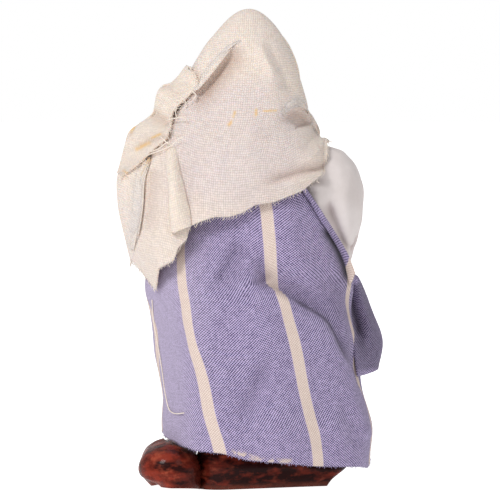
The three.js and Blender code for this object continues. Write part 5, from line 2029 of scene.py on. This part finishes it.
def make_striped():
    """Plain weave of light and dark violet threads, with cream stripes a fixed spacing apart."""
    material, shader, graph = start_material("striped_cotton", Roughness=0.88, Sheen_Weight=0.1)
    across, along = graph.cloth_uv()
    weave = graph.group(WEAVE, Across=across, Along=along, Pitch_Across=STRIPED_PITCH[0],
                        Pitch_Along=STRIPED_PITCH[1], Lean=0.55, Unevenness=0.6, Streaks=1.0, Speckle=0.35)
    place = graph.place()
    worn = patches(graph, place, 60.0)
    top = graph.total(graph.remap(weave["Top"], 0.2, 0.8), graph.product(weave["Slub"], 0.55))
    top = graph.remap(top, 0.0, 1.0)
    violet = graph.mix(worn, linear(37, 19, 78), linear(50, 31, 92))
    purple = graph.mix(top, violet, linear(213, 197, 235))
    # Painted light: paler towards the left of the back, where the key light falls.
    purple = graph.mix(graph.product(graph.mark("painted_light"), 0.3), purple, linear(228, 216, 236))
    cream = graph.mix(top, linear(214, 188, 176), linear(246, 230, 220))
    stripe = graph.cloth_uv("stripes")[0]
    wandering = graph.product(graph.less(graph.noise(place, 90.0), 0.5), 0.2)
    across_stripes = graph.total(stripe, wandering, STRIPE_SPACING * 8)
    nearest = graph.maths("PINGPONG", across_stripes, STRIPE_SPACING / 2)
    edge = graph.product(graph.less(top, 0.5), 0.14)
    low, high = STRIPE_WIDTH / 2 - STRIPE_EDGE, STRIPE_WIDTH / 2 + STRIPE_EDGE
    striped = graph.remap(graph.total(nearest, edge), low, high)
    cloth = graph.mix(striped, cream, purple)
    # Painted shade: near-black violet in the deep folds and over the lifted end's face.
    cloth = graph.mix(graph.product(graph.mark("painted_shade"), 0.9), cloth, linear(26, 18, 34))
    blotch = graph.remap(graph.noise(place, 1300.0), 0.36, 0.55)
    stain = graph.product(graph.mark("stain"), blotch, 0.8)
    surface(graph, shader, graph.mix(stain, cloth, linear(236, 214, 190)), weave["Height"], 0.06)
    return material


def make_thread(name, light, dark):
    material, shader, graph = start_material(name, Roughness=0.85)
    place = graph.place()
    colour = graph.mix(graph.noise(place, 700.0), light, dark)
    surface(graph, shader, colour, graph.noise(place, 5000.0), 0.02)
    return material


def make_cotton():
    material, shader, graph = start_material("white_cotton", Roughness=0.9, Sheen_Weight=0.2)
    place = graph.place()
    grey = patches(graph, place, 110.0)
    colour = graph.mix(grey, linear(236, 227, 225), linear(222, 212, 209))
    # Painted shade: brownish in the sleeve's deep creases.
    colour = graph.mix(graph.mark("painted_shade"), colour, linear(150, 124, 112))
    surface(graph, shader, colour, graph.noise(place, 2600.0, 3.0), 0.05, 0.6)
    return material


def make_terracotta():
    """Flesh paint, with the face and the hair painted on where the head is marked for them."""
    material, shader, graph = start_material("painted_terracotta", Roughness=0.45)
    place = graph.place()
    patch = patches(graph, place, 160.0)
    colour = graph.mix(patch, linear(228, 180, 150), linear(214, 160, 130))
    strokes = graph.remap(graph.noise(place, 2200.0), 0.35, 0.65, 0.0, 1.0)
    hair = graph.mix(strokes, linear(46, 28, 18), linear(84, 54, 34))
    layers = [
        ("blush", linear(204, 118, 96), 0.55),
        ("lips", linear(168, 74, 66), 0.9),
        ("eye_white", linear(238, 228, 214), 1.0),
        ("iris", linear(84, 52, 30), 1.0),
        ("brow", linear(74, 46, 30), 0.85),
        ("dark", linear(26, 16, 12), 0.95),
        ("hair", hair, 1.0),
    ]
    for label, paint, strength in layers:
        colour = graph.mix(graph.product(graph.mark(label), strength), colour, paint)
    surface(graph, shader, colour, graph.noise(place, 1500.0, 4.0), 0.03, 0.5)
    return material


def make_shoe_paint(name, darkness):
    """Dark varnish over burnt red, rubbed through in patches."""
    material, shader, graph = start_material(
        name, Roughness=0.3, Specular_IOR_Level=0.06, Coat_Weight=0.14, Coat_Roughness=0.1
    )
    place = graph.place()
    strokes = graph.add("VectorMath", place, (1.0, 1.0, 2.4), operation="MULTIPLY").outputs[0]
    dark = patches(graph, strokes, 210.0, 0.56 - darkness, 0.79 - darkness)
    speck = patches(graph, place, 620.0, 0.5, 0.75)
    red = graph.mix(speck, linear(140, 50, 34), linear(182, 88, 62))
    colour = graph.mix(dark, red, linear(44, 10, 8))
    # Painted shade: near black where the left heel meets the right shoe.
    colour = graph.mix(graph.product(graph.mark("painted_shade"), 0.8), colour, linear(44, 10, 8))
    height = graph.add("SeparateXYZ", place).outputs[2]
    sole = graph.remap(height, SOLE_WORN[1] * METRES, SOLE_WORN[0] * METRES)
    rough = graph.product(sole, graph.noise(place, 700.0, 4.0))
    colour = graph.mix(rough, colour, linear(128, 58, 38))
    graph.feed(shader.inputs["Roughness"], graph.remap(graph.noise(place, 300.0), 0.3, 0.7, 0.2, 0.45))
    surface(graph, shader, colour, graph.noise(place, 420.0, 6.0, 0.7), 0.4, 0.85)
    return material


def make_stocking():
    material, shader, graph = start_material("painted_stocking", Roughness=0.7)
    place = graph.place()
    soiled = patches(graph, place, 120.0, low=0.4)
    colour = graph.mix(soiled, linear(238, 224, 205), linear(214, 192, 168))
    surface(graph, shader, colour, graph.noise(place, 1200.0, 3.0), 0.04, 0.5)
    return material


# Scene


def make_camera():
    camera = bpy.data.objects.new("camera", bpy.data.cameras.new("camera"))
    bpy.context.scene.collection.objects.link(camera)
    bpy.context.scene.camera = camera
    back, up = -VIEW_DISTANCE * math.cos(VIEW_TILT), VIEW_DISTANCE * math.sin(VIEW_TILT)
    camera.location = stand([0, back, VIEW_HEIGHT + up])
    away = Vector(stand([0, 0, VIEW_HEIGHT])) - camera.location
    camera.rotation_euler = away.to_track_quat("-Z", "Y").to_euler()
    camera.data.lens = camera.data.sensor_width * VIEW_DISTANCE / (2 * PHOTO_MIDDLE[0] * PHOTO_MM)
    camera.data.clip_start = 0.01


def make_light(name, place, size, power):
    """A soft light that looks at the figure's middle, placed in her own frame."""
    light = bpy.data.objects.new(name, bpy.data.lights.new(name, "AREA"))
    bpy.context.scene.collection.objects.link(light)
    light.location = stand(place)
    light.data.size = size * METRES
    light.data.energy = power
    away = Vector(stand([0, 0, VIEW_HEIGHT])) - light.location
    light.rotation_euler = away.to_track_quat("-Z", "Y").to_euler()


def dimmer_as_light(graph, share):
    """A strength of one where the camera looks, and a share of it as light."""
    to_camera = graph.add("LightPath").outputs["Is Camera Ray"]
    return graph.total(graph.product(to_camera, 1 - share), share)


def make_floor():
    """A pale floor that glows white."""
    material, shader, graph = start_material(
        "floor", Roughness=0.9, Base_Color=(0.8, 0.8, 0.8, 1), Emission_Color=(1, 1, 1, 1)
    )
    graph.feed(shader.inputs["Emission Strength"], dimmer_as_light(graph, FLOOR_GLOW))
    ways = [(-1, -1), (1, -1), (1, 1), (-1, 1)]
    corners = np.array([(x * FLOOR_HALF, y * FLOOR_HALF, -FLOOR_DROP) for x, y in ways])
    mesh_object("floor", corners, [(0, 1, 2, 3)], None, material)


def make_studio():
    """White all round, dimmer as light than as a background, with one soft key at the left."""
    world = bpy.data.worlds.new("studio")
    world.use_nodes = True
    graph = Graph(world.node_tree)
    background = world.node_tree.nodes["Background"]
    background.inputs["Color"].default_value = (1, 1, 1, 1)
    graph.feed(background.inputs["Strength"], dimmer_as_light(graph, AMBIENT))
    bpy.context.scene.world = world
    bpy.context.scene.view_settings.view_transform = "Standard"
    make_floor()
    make_light("key", *KEY_LIGHT)
    make_light("fill", *FILL_LIGHT)


WEAVE = make_weave()
PATCHES = make_patches()
FRAY_TREE = make_fray_tree()
THREAD_TREE = make_thread_tree()
calico = make_calico()
purple = make_striped()
cream_thread = make_thread("cream_thread", linear(255, 246, 236), linear(244, 228, 212))
violet_thread = make_thread("violet_thread", linear(196, 184, 214), linear(96, 80, 132))
cotton = make_cotton()
terracotta = make_terracotta()
# The left shoe's paint is lighter than the right's: partly their own varnish, partly painted light on the
# lit left shoe and painted shade on the right shoe under the skirt's hem.
left_paint_lit = make_shoe_paint("left_shoe_paint_lit", 0.16)
right_paint_shaded = make_shoe_paint("right_shoe_paint_shaded", 0.28)
stocking = make_stocking()

make_camera()
make_studio()
make_skirt(purple)
veil_back = make_veil(calico)
roll = make_veil_roll(calico, veil_back)
make_veil_end(calico, veil_back)
make_blouse(cotton)
make_head(terracotta)
make_hand("left_hand", terracotta)
make_hand("right_hand", terracotta)
make_foot("left_foot", -1, LEFT_FOOT_TURN, LEFT_LEG, left_paint_lit, stocking)
make_foot("right_foot", 1, RIGHT_FOOT_TURN, RIGHT_LEG, right_paint_shaded, stocking)
